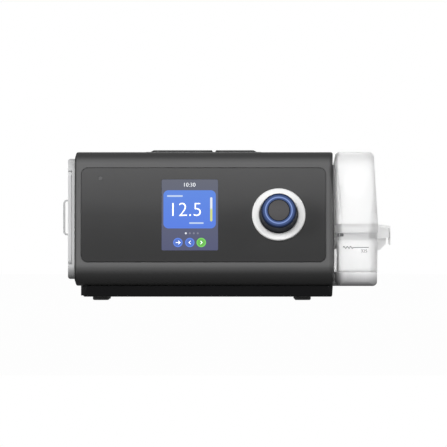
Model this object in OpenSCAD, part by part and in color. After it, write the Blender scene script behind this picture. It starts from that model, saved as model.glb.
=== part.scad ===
// Bilevel pap machine with a side water chamber.
// Millimetres. +Z is up, the front panel faces -Y, and the floor is z = 0.
// The origin lies under the middle of the whole machine.

/* [Body] */
// Width of the cover from its left top edge to its right wall
body_w = 226.2; // [215:0.1:245]
// Depth of the cover from its front foot corner to its rear wall
body_d = 160; // [155:1:185]
// Height of the cover's top above the floor
body_h = 130.7; // [128:0.1:145]
// Backward tilt of the front panel in degrees
front_tilt = 12; // [9:0.5:13]
// How far the left wall bulges past its top edge
side_bulge = 1.8; // [1:0.1:2.6]
// Height of the slanted strips over and under the left wall's flat
bulge_rise = 6.4; // [4:0.2:9]
// Wall of the cover
wall = 2.6; // [2.2:0.1:3]
// Radius between the front panel and the top
top_r = 9; // [5:0.5:11]
// Radius of the chin under the front panel
chin_r = 12; // [8:0.5:13]
// Radius between the top and the rear wall
rear_top_r = 5; // [4:0.5:8]
// Radius of the upright corners at the front
front_corner_r = 4; // [3:0.5:6]
// Radius of the upright corners at the rear
rear_corner_r = 6; // [4:0.5:9]

/* [Base] */
// Height of the rubber feet below the tray
foot_h = 3; // [2:0.2:5]
// Radius of a foot
foot_r = 7.25; // [5:0.25:9]
// Distance from a foot's centre to the tray's side
foot_inset = 15.4; // [12:0.2:22]
// Height of the base tray
tray_h = 9.7; // [9.2:0.1:13]
// Wall and floor of the tray
tray_wall = 2.2; // [1.8:0.1:2.4]
// How far the tray stands in from the cover's left, front and rear
tray_inset = 4.8; // [3:0.2:8]
// Draft of the tray's sides over its height
tray_draft = 1.3; // [0.4:0.1:2.5]
// Radius of the screw shanks
screw_r = 1.5; // [1.2:0.1:2]
// Radius of the screw bosses
boss_r = 4.2; // [3.6:0.1:5]

/* [Front plate] */
// Height of the plate's centre above the floor
panel_z = 75.2; // [72:0.1:80]
// Height of the plate along the slope
plate_h = 85.7; // [78:0.1:92]
// Gap from the cover's left top edge to the plate
plate_left = 3.7; // [3:0.1:8]
// Gap from the plate to the cover's right wall
plate_right = 5.8; // [4:0.1:9]
// Corner radius of the plate
plate_r = 6.4; // [3:0.2:12]
// Depth of the plate's recess in the cover
plate_sink = 1.4; // [1:0.1:1.8]
// How far the plate stands proud of the cover
plate_proud = 0.2; // [0:0.1:0.6]
// Open groove round the plate
plate_groove = 0.6; // [0.3:0.1:1]
// Radius of the light sensor's window
sensor_r = 1.75; // [1:0.05:3]
// Sensor's distance from the plate's left edge
sensor_in = 17.3; // [12:0.1:30]
// Sensor's distance from the plate's top edge along the slope
sensor_down = 9.8; // [7:0.1:16]

/* [Screen] */
// Width of the screen's window
screen_w = 50; // [44:0.1:56]
// Height of the window along the slope
screen_h = 64.2; // [56:0.1:70]
// Distance from the plate's left edge to the window's centre
screen_in = 96.3; // [90:0.1:104]
// Thickness of the window
window_t = 1.5; // [1.2:0.1:1.8]
// Border of the screen module hidden behind the cover
module_border = 2.4; // [1.5:0.1:3]
// Thickness of the screen module
module_t = 4.4; // [3:0.1:5]

/* [Dial] */
// Distance from the plate's right edge to the dial's axis
dial_in = 42; // [34:0.1:50]
// Outer radius of the pale ring
ring_r = 23.6; // [20:0.1:27]
// Height of the ring above the plate
ring_h = 2.6; // [1.6:0.1:4]
// Radius of the knob's foot
knob_r = 16.6; // [14:0.1:19]
// Radius of the knob's front face
knob_face_r = 15.2; // [13.8:0.1:16]
// Height of the knob's face above the plate
knob_h = 19.5; // [16:0.1:24]
// Outer radius of the lit ring
glow_r = 13.7; // [12:0.1:13.7]
// Width of the lit ring
glow_w = 3.8; // [2:0.1:4.2]
// Depth of the lit ring in the knob's face
glow_t = 1.6; // [1:0.1:2.4]
// Wall of the knob
knob_wall = 2; // [1.5:0.1:2.6]
// Radius of the encoder's shaft
shaft_r = 3; // [2.5:0.1:3.4]
// Push travel of the knob
knob_travel = 0.8; // [0.4:0.1:1]
// Width of the encoder's square body
encoder_w = 13; // [12:0.5:15]
// Height of the encoder's body
encoder_t = 5.4; // [5:0.1:6]

/* [Boards] */
// Thickness of the circuit boards
board_t = 1.6; // [1.2:0.1:2]
// Distance from the cover's face to the control board
board_depth = 14; // [13:0.2:15]
// Width of the control board
board_w = 150; // [147:1:154]
// Height of the control board along the slope
board_h = 62; // [56:1:66]
// Distance from the plate's right edge to the control board
board_in = 12; // [8:0.5:20]

/* [Top buttons] */
// Length of the start button
start_w = 55.8; // [48:0.1:60]
// Length of the home button
home_w = 37.5; // [32:0.1:42]
// Gap between the two buttons
button_gap = 1.8; // [1.6:0.1:3]
// Depth of the buttons from front to back
button_d = 17; // [14:0.5:22]
// Corner radius of the buttons
button_r = 6; // [3:0.5:6.8]
// How far the buttons stand above the top
button_proud = 1.8; // [1.2:0.1:3]
// Run of the sloped outer ends of the buttons
button_slope = 3.4; // [2:0.1:6]
// Distance from the cover's left top edge to the start button
button_in = 64.6; // [56:0.1:72]
// Distance from the cover's rear wall to the buttons' centre line
button_back = 108; // [104:1:112]
// Travel of the buttons
button_travel = 1.2; // [0.6:0.1:1.4]
// Rim of the bezel round the buttons
bezel_rim = 3.4; // [3:0.1:6]
// Height of the bezel above the top
bezel_proud = 0.3; // [0.1:0.1:0.8]
// Thickness of the retaining lip under a button
lip_t = 1.4; // [1:0.1:2]

/* [Filter side] */
// Height of the side frame
frame_h = 106.3; // [98:0.1:106.5]
// Depth of the side frame from front to back
frame_d = 112; // [104:1:114]
// Gap from the cover's rear wall to the side frame
frame_back = 12; // [10:0.5:16]
// Height of the side frame's foot above the floor
frame_z = 18.5; // [18.2:0.1:19]
// Thickness of the frame's inner layer
frame_t = 2.7; // [2:0.1:3.4]
// Thickness of the door layer
door_t = 3.4; // [2.8:0.1:4]
// Height of the door
door_h = 82; // [74:0.1:86]
// Height of the door's foot above the frame's foot
door_up = 13.4; // [10:0.1:16]
// Corner radius of the frame and the door
side_r = 3.5; // [2:0.5:6]
// Width of the frame's strip behind the door's hinge
hinge_strip = 3.6; // [3.2:0.1:6]
// Radius of the hinge pin
hinge_r = 0.9; // [0.7:0.05:1]
// Length of the hinge pin past each end of the door
hinge_end = 5; // [3:0.5:8]
// How far the grip stands out of the door
grip_out = 4.3; // [4:0.1:6]
// Height of the grip
grip_h = 31.6; // [26:0.1:40]
// Depth of the grip from front to back
grip_d = 13; // [9:0.5:20]
// Thickness of the grip's bar
grip_t = 1.6; // [1.2:0.1:2]
// Gap from the door's front edge to the grip
grip_front = 5; // [3:0.5:10]
// Depth of the finger hollow behind the grip
hollow_t = 1.9; // [1.8:0.1:2.1]
// Number of air slots in the door
louvre_count = 8; // [4:1:10]
// Height of one air slot
louvre_h = 2.6; // [1.6:0.1:3]
// Spacing of the air slots
louvre_pitch = 5.4; // [4.4:0.1:6]
// Depth of the air slots from front to back
louvre_d = 46; // [36:1:50]
// Height of the inlet filter
filter_h = 54; // [46:1:58]
// Depth of the filter from front to back
filter_d = 54; // [46:1:58]
// Thickness of the filter's support grille
grille_t = 1.6; // [1.2:0.1:2]
// Width of a bar of the grille
grille_bar = 1.6; // [1.2:0.1:2.4]
// Number of bars each way in the grille
grille_count = 6; // [3:1:8]
// Overlap of the grille behind the cover's wall
grille_lap = 4; // [3:0.5:6]

/* [Water chamber] */
// Width of the chamber outside the cover
chamber_w = 38.4; // [34:0.1:46]
// Length of the chamber from front to back
chamber_l = 126; // [118:1:130]
// Gap from the cover's front foot corner to the chamber
chamber_front = 18; // [17:0.5:22]
// Corner radius of the chamber seen from above
chamber_r = 9; // [6:0.5:12]
// Height of the chamber's underside above the floor
chamber_z = 12.4; // [12.2:0.1:12.4]
// Top of the tub above the floor
tub_top = 58.8; // [56:0.1:62]
// Height of the tub's thick rim
tub_rim_h = 5.8; // [4.6:0.1:8]
// Wall of the tub and the dome
clear_wall = 1.8; // [1.4:0.1:2.2]
// Width of the thick rims where the lid meets the tub
rim_w = 4.2; // [3.8:0.1:5]
// Radius of the tub's lower edge
tub_edge_r = 4; // [3:0.5:6]
// Draft of the tub's outer wall over its height
tub_draft = 0.8; // [0.4:0.1:1.5]
// Undercut of the tub's lower edge next to the cover
tub_undercut = 2.1; // [1:0.1:3]
// Height of that undercut
undercut_h = 9; // [6:0.5:14]
// Thickness of the metal pan
pan_t = 0.8; // [0.6:0.1:1]
// Height of the pan's turned-up side
pan_h = 12.2; // [9:0.1:15]
// Reach of the shelf that slides into the cover
shelf_x = 58; // [50:1:60]
// Gap from the chamber's end to the shelf
shelf_inset = 8; // [8:0.5:14]
// Top of the shelf above the floor
shelf_top = 48; // [42:0.5:49]
// Radius of the shelf's long edges
shelf_r = 3; // [2:0.5:4]
// Width of the seal's groove
seal_w = 2; // [1.6:0.1:2.2]
// Depth of the seal's groove
seal_h = 1.6; // [1.2:0.1:2.4]

/* [Lid] */
// Top of the dome above the floor
dome_top = 130.8; // [126:0.1:140]
// Height of the lid's thick rim
lid_rim_h = 8; // [6:0.1:10]
// How far the dome's outer wall leans in over its height
dome_lean = 3.9; // [2:0.1:6]
// How far the dome's ends lean in over its height
dome_end_lean = 3; // [1.5:0.1:5]
// Run of the slant at the dome's top next to the cover
dome_slant = 2.4; // [1:0.1:4]
// Height of that slant
dome_slant_h = 11.4; // [8:0.2:16]
// Radius of the dome's top edges
dome_r = 5; // [3:0.5:7]
// Outer radius of the hose port
port_r = 11; // [10:0.1:12]
// Wall of the hose port
port_wall = 2; // [1.6:0.1:2.4]
// Length of the hose port
port_l = 20; // [16:0.5:22]
// How far the hose port stands out behind the cover
port_reach = 17.1; // [14:0.1:24]
// Height of the hose port's axis above the floor
port_z = 102; // [96:0.5:106]
// Radius of the collar behind the hose port
collar_r = 13.6; // [13:0.1:14]
// Width of the finger tab from front to back
tab_d = 44; // [30:1:60]
// Reach of the tab's ledge past the chamber
ledge_x = 10.4; // [9.6:0.1:14]
// Thickness of the ledge
ledge_t = 2.2; // [1.6:0.1:3]
// Thickness of the finger tab
tab_t = 1.3; // [1:0.1:2]
// Height of the finger tab
tab_h = 16.6; // [12:0.1:22]
// Reach of the tub's own lip under the ledge
lip_x = 8; // [5:0.1:8.8]
// Height of the tub's lip and its gusset
lip_h = 12; // [9:0.1:15]
// Drop from the tub's top to its lip
lip_drop = 4.1; // [3:0.1:6]
// Gap between the baffle's foot and the lid's thick rim
baffle_gap = 5; // [2:0.5:8]
// Thickness of the baffle
baffle_t = 1.4; // [1:0.1:2]
// Depth of the air box behind the baffle
baffle_x = 7; // [5:0.5:9]

/* [Dock and heater] */
// Thickness of the dark trim plate on the cover's right wall
trim_t = 1.2; // [0.8:0.1:1.6]
// Height of the trim's foot above the floor
trim_z = 16.7; // [15:0.1:20]
// Top of the trim above the floor
trim_top = 119.4; // [112:0.1:122]
// Gap between the trim and the chamber
chamber_gap = 0.3; // [0.2:0.1:0.8]
// Room round the shelf in its dock
dock_room = 0.6; // [0.4:0.1:1]
// Wall of the dock
dock_wall = 1.8; // [1.4:0.1:2.2]
// Thickness of the heater plate
heater_t = 2.5; // [2:0.1:2.8]
// Gap between the heater plate and the pan
heater_gap = 0.3; // [0.2:0.1:0.3]
// Thickness of the heater's carrier
carrier_t = 1.5; // [1.2:0.1:1.8]
// Gap from the dock's walls to the heater plate
heater_inset = 7; // [5:0.5:12]
// Outer radius of the heater's springs
spring_r = 3.4; // [3:0.1:4.5]
// Wall of the springs
spring_wall = 1; // [0.8:0.1:1.2]
// Sprung travel of the heater plate
heater_travel = 1; // [0.5:0.1:1]

/* [Air path] */
// Gap between the motor and the cover's top
motor_gap = 5.4; // [4:0.1:8]
// Depth of the muffler box from front to back
muffler_d = 84; // [80:1:86]
// Gap from the cover's rear wall to the muffler box
muffler_back = 29; // [28:0.5:32]
// Width of the muffler's tall part behind the filter
plenum_w = 28; // [24:0.5:30]
// Width of the muffler box
muffler_w = 116; // [112:1:120]
// Wall of the muffler box
muffler_wall = 2; // [1.6:0.1:2.4]
// Thickness of the sound foam
foam_t = 8; // [5:0.5:12]
// Height of the rubber mounts under the blower
mount_h = 7; // [6:0.5:9]
// Radius of the rubber mounts
mount_r = 4; // [3:0.5:5]
// Outer radius of the blower's housing
volute_r = 33; // [31:0.5:34]
// Height of the blower's housing
volute_h = 28; // [27:0.5:30]
// Wall of the blower's housing
volute_wall = 2; // [1.6:0.1:2.4]
// Radius of the blower's air inlet
inlet_r = 12; // [9:0.5:13]
// Radius of the impeller
impeller_r = 25; // [22:0.5:26]
// Number of impeller blades
blade_count = 9; // [7:1:13]
// Thickness of the blower's cover
cover_t = 2.4; // [2:0.1:3]
// Radius of the motor
motor_r = 16; // [13:0.5:18]
// Height of the motor
motor_h = 17; // [14:0.5:17]
// Radius of the motor's shaft
motor_shaft_r = 2; // [1.5:0.1:2.5]
// Bore radius of the outlet duct
duct_r = 9.5; // [8:0.1:10]
// Wall of the outlet duct
duct_wall = 1.8; // [1.4:0.1:2.2]
// Width of the outlet's face seal
face_seal_w = 3.4; // [2.4:0.1:4]
// How deep the face seal sits in the cover's wall
face_seal_sink = 1; // [0.6:0.1:1.4]

/* [Rear] */
// Width of the rear panel
rear_w = 168; // [160:1:176]
// Height of the rear panel
rear_h = 84; // [76:1:90]
// Height of the rear panel's foot above the floor
rear_z = 24; // [22:0.5:28]
// Distance from the cover's left top edge to the rear panel
rear_in = 28; // [20:1:34]
// Depth of the rear panel's recess
rear_sink = 1.4; // [1:0.1:1.8]
// Thickness of the rear panel
rear_t = 1.8; // [1.4:0.1:2.2]
// Corner radius of the rear panel
rear_r = 5; // [3:0.5:8]
// Ledge that the rear panel rests on
rear_ledge = 6; // [5:0.5:8]
// Height of the power board above the floor
power_z = 30; // [28.5:0.5:32]
// Depth of the power board from front to back
power_d = 24; // [22:0.5:25]
// Distance from the rear panel's left edge to the power inlet
jack_in = 36; // [28:1:50]
// Radius of the power inlet's socket
jack_r = 3.1; // [2.6:0.1:3.6]
// Radius of the power inlet's centre pin
jack_pin_r = 1.1; // [0.9:0.05:1.3]
// Outer radius of the power inlet's barrel
jack_barrel_r = 4.6; // [4.2:0.1:5]
// Depth of the power inlet's socket
jack_l = 9; // [8:0.5:10]
// Distance from the rear panel's right edge to the memory card's centre
card_in = 46; // [44:1:56]
// Width of the memory card
card_w = 24; // [20:0.5:26]
// Length of the memory card
card_l = 32; // [28:0.5:34]
// Thickness of the memory card
card_t = 2.1; // [1.6:0.1:2.4]
// How far the card stands out of the rear panel
card_out = 1.6; // [1:0.1:3]
// Number of cooling slots in the rear panel
vent_count = 12; // [6:1:14]
// Spacing of the cooling slots
vent_pitch = 6; // [5:0.1:7]
// Width of a cooling slot
vent_w = 2.6; // [1.6:0.1:3]
// Height of the cooling slots
vent_h = 26; // [16:1:30]

/* [Clearances] */
// Room round parts that press or swing
play = 0.3; // [0.25:0.05:0.4]
// Running room round a turning shaft
running = 0.05; // [0.03:0.01:0.08]
// Room between parts that are fitted together and stay
fit = 0.1; // [0.05:0.05:0.15]

/* [Hidden] */
$fn = 48;
eps = 0.01;
far = 400;
// how far a cutter reaches past the faces that it cuts
over = 1;
// radii of small edges
sharp_r = 0.4;
edge_r = 2;
button_bend = 2;
button_steep = 0.9;
steep_bend = 0.8;
frame_edge_r = 2.2;
flat_r = 8;

// Whole width, so that x = 0 is its middle
ledge_total = ledge_x + tab_t;
left_stack = grip_out + door_t + frame_t + side_bulge;
right_stack = trim_t + chamber_gap + chamber_w + ledge_total;
overall_w = left_stack + body_w + right_stack;
body_left = left_stack - overall_w / 2;
body_right = body_left + body_w;
bulge_x = body_left - side_bulge;

// Whole depth, so that y = 0 is its middle
seam_z = foot_h + tray_h;
lip_z = seam_z + wall;
slope = tan(front_tilt);
knob_rise = knob_h + plate_proud;
knob_reach = knob_rise * cos(front_tilt) + knob_face_r * sin(front_tilt) - (panel_z - seam_z) * slope;
overall_d = knob_reach + body_d + port_reach;
front_y = knob_reach - overall_d / 2;
rear_y = front_y + body_d;
top_inside = body_h - wall;
// how far the prism that rounds the upright front corners stands ahead of the panel
corner_step = 0.02;

// Front plate, in the panel's own frame: x, up the slope, and out of the cover
plate_w = body_w - plate_left - plate_right;
plate_x = body_left + plate_left + plate_w / 2;
screen_x = body_left + plate_left + screen_in;
dial_x = body_right - plate_right - dial_in;
sensor_x = body_left + plate_left + sensor_in;
sensor_v = plate_h / 2 - sensor_down;
sensor_seat = 0.6;
plunger_z = 1.1;
plunger_t = 1;
chips = [[0.13, 0.13, 14, 14, 1.6], [-0.16, -0.16, 9, 12, 2.2], [-0.345, 0.065, 6, 22, 5]];
switch_tip_r = 1.7;
hollow_step = 0.6;
louvre_rear = 10;
grip_r = 3.4;
tab_r = 5;
ledge_drop = 1.8;
port_sink = 6;
heater_r = 6;
carrier_in = 2;
sleeve_wall = 3;
mount_in = 2;
blade_bend = 0.62;
blade_t = 1.2;
impeller_gap = 2;
impeller_t = 1.5;
flange_w = 3;
flow_w = 18;
flow_d = 14;
flow_h = 5;
capacitor_x = 24;
capacitor_pitch = 14;
jack_case_w = 12;
card_cut = 4;
filter_r = 3;
grille_hole = [filter_d - 2 * edge_r, filter_h - 2 * edge_r];
ring_edge_r = 1.4;
knob_edge_r = 2.4;
lean_in = 0.3;
cap_gap = 0.7;
cap_seat_r = glow_r - glow_w - cap_gap;
cap_rise = 0.5;
cap_dome_r = 80;
glow_proud = 0.15;
window_seat = 1.5;
window_r = 2;
connector_w = 22;
connector_d = 4;
screen_hole = [screen_w - 2 * window_seat, screen_h - 2 * window_seat];
board_x = body_right - plate_right - board_in - board_w / 2;
board_face = wall - board_depth;
encoder_top = board_face + encoder_t;
hub_wall = 2.4;
hub_r = shaft_r + hub_wall;
hub_hole_r = hub_r + 1.2;
knob_foot = plate_proud + knob_travel + play;

// Side frame, door and filter
frame_y = rear_y - frame_back - frame_d / 2;
frame_mid_z = frame_z + frame_h / 2;
door_z = frame_z + door_up;
door_mid_z = door_z + door_h / 2;
door_x = bulge_x - frame_t;
hinge_y = rear_y - frame_back - hinge_strip - door_t / 2;
hinge_x = door_x - play - (door_t - play) / 2;
barrel_r = (door_t - play) / 2;
door_front = frame_y - frame_d / 2;
filter_ahead = 4;
filter_y = frame_y - filter_ahead;
filter_z = door_mid_z;
grip_y = door_front + grip_front;

// Water chamber
chamber_x = body_right + trim_t + chamber_gap;
chamber_right = chamber_x + chamber_w;
chamber_y = front_y + chamber_front;
chamber_mid = chamber_y + chamber_l / 2;
tub_rim_z = tub_top - tub_rim_h;
seal_proud = 0.4;
lid_z = tub_top + seal_proud;
draft_top = (tub_top + dome_top) / 2;
baffle_foot = lid_z + lid_rim_h + baffle_gap;
shelf_l = chamber_l - 2 * shelf_inset;
muffler_top = top_inside - motor_gap - motor_h - cover_t - volute_h - mount_h;
duct_z = muffler_top + mount_h + volute_h / 2;
duct_out = duct_r + duct_wall;
blower_side = 2;
blower_x = body_left + muffler_w - volute_r - blower_side;
muffler_y = rear_y - muffler_back - muffler_d / 2;
blower_y = muffler_y;
duct_y = blower_y + volute_r - volute_wall - duct_r;
spout_l = 6;
duct_x = blower_x + volute_r + spout_l;
hose_x = chamber_x + chamber_w / 2;
hose_end = rear_y + port_reach;

// Dock, heater and trim
dock_y = chamber_mid;
dock_x = chamber_x - shelf_x - dock_room;
dock_top = shelf_top + dock_room;
dock_half = shelf_l / 2 + dock_room;
heater_z = chamber_z - heater_gap - heater_t;
heater_x = dock_x + heater_inset;
heater_w = body_right - wall - heater_inset - heater_x;
heater_d = 2 * (dock_half - heater_inset);
heater_mid = heater_x + heater_w / 2;
tray_top = foot_h + tray_wall;
spring_l = heater_z - carrier_t - tray_top;
spring_in = 7;
spring_dx = heater_w / 2 - spring_in;
spring_dy = heater_d / 2 - spring_in;
spring_spots = [for (x = [-1, 1], y = [-1, 1]) [heater_mid + x * spring_dx, dock_y + y * spring_dy]];

// Blower
muffler_x = bulge_x + wall + grille_t;
muffler_right = body_left + muffler_w;
plenum_top = filter_z + filter_h / 2 + grille_lap;
volute_z = muffler_top + mount_h;
cover_z = volute_z + volute_h;
motor_z = cover_z + cover_t;
impeller_foot = volute_z + volute_wall + 3;
shaft_top = motor_z + motor_h - 4;

// Rear panel and its boards
rear_x = body_left + rear_in;
rear_face = rear_y - rear_sink + rear_t;
vent_top = rear_z + rear_h - 2 * rear_ledge;
board_gap = 0.4;
board_rear = rear_y - wall - board_gap;
jack_x = rear_x + jack_in;
jack_z = power_z + board_t + jack_barrel_r + board_gap;
card_x = rear_x + rear_w - card_in;
cage_wall = 0.8;
jack_post_x = 16;
capacitor_r = 4;
capacitor_h = 14;
card_z = power_z + board_t + 2 * cage_wall;

// Top buttons
start_x = body_left + button_in + start_w / 2;
home_x = body_left + button_in + start_w + button_gap + home_w / 2;
button_y = rear_y - button_back;
button_top = body_h + button_proud;
bezel_w = start_w + button_gap + home_w + 2 * bezel_rim;
bezel_x = body_left + button_in - bezel_rim + bezel_w / 2;
bezel_d = button_d + 2 * bezel_rim;
lip_top = top_inside - play;
lip_foot = lip_top - lip_t;
stem_l = 3;
stem_r = 2;
stem_end = lip_foot - stem_l;
switch_h = 4;
switch_w = 6;
switch_top = stem_end - button_travel - play;
switch_board = switch_top - switch_h;

// A rounded convex outline: true arcs of radius r at each corner, moved inwards by w
function unit(v) = v / norm(v);
function corner(p, i) = let (n = len(p), a = unit(p[(i + n - 1) % n] - p[i]), b = unit(p[(i + 1) % n] - p[i]))
    [a, b, acos(a * b) / 2];
function inset_point(p, i, w) = let (c = corner(p, i)) p[i] + unit(c[0] + c[1]) * w / sin(c[2]);
function inset_outline(p, w) = [for (i = [0 : len(p) - 1]) inset_point(p, i, w)];
module rounded(points, radii, w = 0) {
    p = inset_outline(points, w);
    r = [for (x = radii) max(x - w, 0.3)];
    polygon([for (i = [0 : len(p) - 1], side = [0, 1]) let (c = corner(p, i))
        p[i] + c[side] * r[i] / tan(c[2])]);
    for (i = [0 : len(p) - 1]) {
        c = corner(p, i);
        translate(p[i] + unit(c[0] + c[1]) * r[i] / sin(c[2])) circle(r[i]);
    }
}

// A rectangle's corners, and a rectangle with round corners, centred
function corners(x0, y0, x1, y1) = [[x0, y0], [x1, y0], [x1, y1], [x0, y1]];
module round_rect(w, h, r) {
    rounded(corners(-w / 2, -h / 2, w / 2, h / 2), [r, r, r, r]);
}

// Extrusions along X and along Y of an outline drawn in (y, z) or in (x, z)
module along_x(x0, x1) {
    translate([x0, 0, 0]) rotate([90, 0, 90]) linear_extrude(x1 - x0) children();
}
module along_y(y0, y1) {
    translate([0, y1, 0]) rotate([90, 0, 0]) linear_extrude(y1 - y0) children();
}

// A box from its lowest to its highest corner
module box(a, b) {
    translate(a) cube(b - a);
}

// The front panel's own frame, with z out of the cover
module on_panel() {
    translate([0, front_y + (panel_z - seam_z) * slope, panel_z]) rotate([90 - front_tilt, 0, 0]) children();
}
module panel_cylinder(x, v, w0, w1, r) {
    on_panel() translate([x, v, w0]) cylinder(h = w1 - w0, r = r);
}
module panel_block(x, v, w0, w1, size, r) {
    on_panel() translate([x, v, w0]) linear_extrude(w1 - w0) round_rect(size[0], size[1], r);
}

// The cover's form, moved inwards by w
module body_form(w) {
    side = [[front_y, seam_z], [rear_y, seam_z], [rear_y, body_h],
        [front_y + (body_h - seam_z) * slope, body_h]];
    front = [[body_left, seam_z], [body_right, seam_z], [body_right, body_h], [body_left, body_h],
        [bulge_x, body_h - bulge_rise], [bulge_x, seam_z + bulge_rise]];
    intersection() {
        along_x(-far, far) rounded(side, [chin_r, edge_r, rear_top_r, top_r], w);
        along_y(-far, far) rounded(front, [edge_r, edge_r, edge_r, edge_r, flat_r, flat_r], w);
        translate([0, 0, -far]) linear_extrude(2 * far)
            rounded(corners(bulge_x, -far, body_right, rear_y),
                [over, over, rear_corner_r, rear_corner_r], w);
        translate([0, front_y - seam_z * slope, 0]) rotate([-front_tilt, 0, 0]) translate([0, 0, -far])
            linear_extrude(2 * far)
                rounded(corners(bulge_x, -corner_step, body_right, far),
                    [front_corner_r, front_corner_r, over, over], w);
    }
}

// Places that repeat round the body
base_screw_x = 9;
base_screw_front = 26;
base_screw_rear = 14;
base_screw_right = 12;
base_screw_spots = [[body_left + base_screw_x, front_y + base_screw_front],
    [body_left + base_screw_x, rear_y - base_screw_rear], [dock_x - base_screw_x, front_y + base_screw_front],
    [body_right - base_screw_right, rear_y - base_screw_rear]];
base_boss_h = 15.6;
tray_lean = 0.6;
trim_inset = 2;
trim_r = 5;
tray_edge_r = 1.5;
tray_corner_r = 6;
foot_edge = 6;
screw_head_r = 2.9;
screw_head_h = 1.7;
head_seat = 0.4;
head_gap = 0.2;
foot_bevel = 0.8;
foot_plug_r = foot_r - 1.2;
foot_left = tray_inset + foot_inset + tray_draft;
foot_right = tray_inset + foot_inset + 6.4;
foot_front = tray_inset + foot_inset + 8;
foot_spots = [for (x = [body_left + foot_left, body_right - foot_right],
    y = [front_y + foot_front, rear_y - tray_inset - foot_inset]) [x, y]];
rear_screw_in = 5;
rear_boss_r = 3.4;
rear_boss_l = 6;
rear_spots = [for (x = [rear_x + rear_screw_in, rear_x + rear_w - rear_screw_in],
    z = [rear_z + rear_screw_in, rear_z + rear_h - rear_screw_in]) [x, z]];
board_screw_in = 5;
board_screw_r = 1.2;
board_screw_l = 6;
board_post_r = 3;
board_spots = [for (x = [-1, 1] * (board_w / 2 - board_screw_in),
    v = [-1, 1] * (board_h / 2 - board_screw_in)) [board_x + x, v]];
switch_post_in = 4;
switch_post_r = 2.5;
switch_posts = [for (x = [start_x - start_w / 2 + switch_post_in, home_x + home_w / 2 - switch_post_in],
    y = [-1, 1]) [x, button_y + y * (button_d / 2 + lip_t + switch_post_in)]];
power_post_r = 3.4;
power_posts = [jack_x + jack_post_x, card_x - card_w / 2 - power_post_r - cage_wall - play - board_gap];
muffler_post_r = 4;
muffler_post_in = 10;
muffler_posts = [for (x = [muffler_x + 4 * muffler_post_r, muffler_right - muffler_post_in],
    y = [-1, 1] * (muffler_d / 2 - muffler_post_in)) [x, muffler_y + y]];

// The opening that the chamber's shelf passes, open below
module dock_window() {
    foot = foot_h + over;
    rounded(corners(dock_y - dock_half, foot, dock_y + dock_half, dock_top),
        [sharp_r, sharp_r, shelf_r, shelf_r]);
}

module housing() color([0.2, 0.2, 0.21]) difference() {
    union() {
        difference() {
            body_form(0);
            body_form(wall);
            // open foot inside the lip that the tray is screwed to
            box([body_left + tray_inset + 2 * tray_wall, front_y + base_screw_front + foot_edge,
                seam_z - over], [body_right - tray_wall - foot_edge, rear_y - base_screw_rear - foot_edge,
                lip_z + over]);
        }
        for (s = base_screw_spots) translate([s[0], s[1], seam_z]) cylinder(h = base_boss_h, r = boss_r);
        for (s = rear_spots) along_y(rear_y - wall - rear_boss_l, rear_y - wall + eps) translate(s)
            circle(rear_boss_r);
        for (s = board_spots) panel_cylinder(s[0], s[1], board_face, -wall + eps, board_post_r);
        for (x = power_posts) translate([x, board_rear - power_d / 2, lip_z - eps])
            cylinder(h = power_z - lip_z + eps, r = power_post_r);
        for (s = switch_posts) translate([s[0], s[1], switch_board + board_t])
            cylinder(h = top_inside - switch_board - board_t + eps, r = switch_post_r);
    }
    for (s = base_screw_spots) translate([s[0], s[1], seam_z - over])
        cylinder(h = base_boss_h - over, r = screw_r + running);
    for (s = rear_spots) along_y(rear_y - wall - rear_boss_l + over, rear_y) translate(s)
        circle(screw_r + running);
    for (s = board_spots) panel_cylinder(s[0], s[1], board_face - over, board_face + board_screw_l,
        board_screw_r + running);
    // front: plate recess, screen, sensor and encoder
    panel_block(plate_x, 0, -plate_sink, far, [plate_w, plate_h], plate_r);
    panel_block(screen_x, 0, -wall - over, 0, screen_hole, over);
    panel_cylinder(sensor_x, sensor_v, -wall - over, 0, sensor_r - sensor_seat);
    panel_cylinder(dial_x, 0, -wall - over, 0, hub_hole_r);
    // top: button bezel
    translate([bezel_x, button_y, top_inside - over]) linear_extrude(wall + 2 * over)
        round_rect(bezel_w + 2 * fit, bezel_d + 2 * fit, button_r + bezel_rim);
    // left: filter window
    along_x(bulge_x - over, bulge_x + wall + over) translate([filter_y, filter_z])
        round_rect(filter_d + 2 * fit, filter_h + 2 * fit, filter_r);
    // right: dock and air outlet
    along_x(body_right - wall - over, body_right + over) dock_window();
    box([dock_x - dock_wall - fit, dock_y - dock_half - dock_wall - fit, seam_z - over],
        [body_right - wall, dock_y + dock_half + dock_wall + fit, lip_z + over]);
    along_x(body_right - wall - over, body_right + over) translate([duct_y, duct_z]) circle(duct_r);
    along_x(body_right - face_seal_sink, body_right + over) translate([duct_y, duct_z])
        circle(duct_r + face_seal_w + fit);
    // rear: recess and opening
    along_y(rear_y - rear_sink, rear_y + over) translate([rear_x + rear_w / 2, rear_z + rear_h / 2])
        round_rect(rear_w + 2 * fit, rear_h + 2 * fit, rear_r);
    along_y(rear_y - wall - over, rear_y) difference() {
        translate([rear_x + rear_w / 2, rear_z + rear_h / 2])
            round_rect(rear_w - 2 * rear_ledge, rear_h - 2 * rear_ledge, rear_r);
        for (s = rear_spots) translate(s) circle(boss_r);
    }
}

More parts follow.
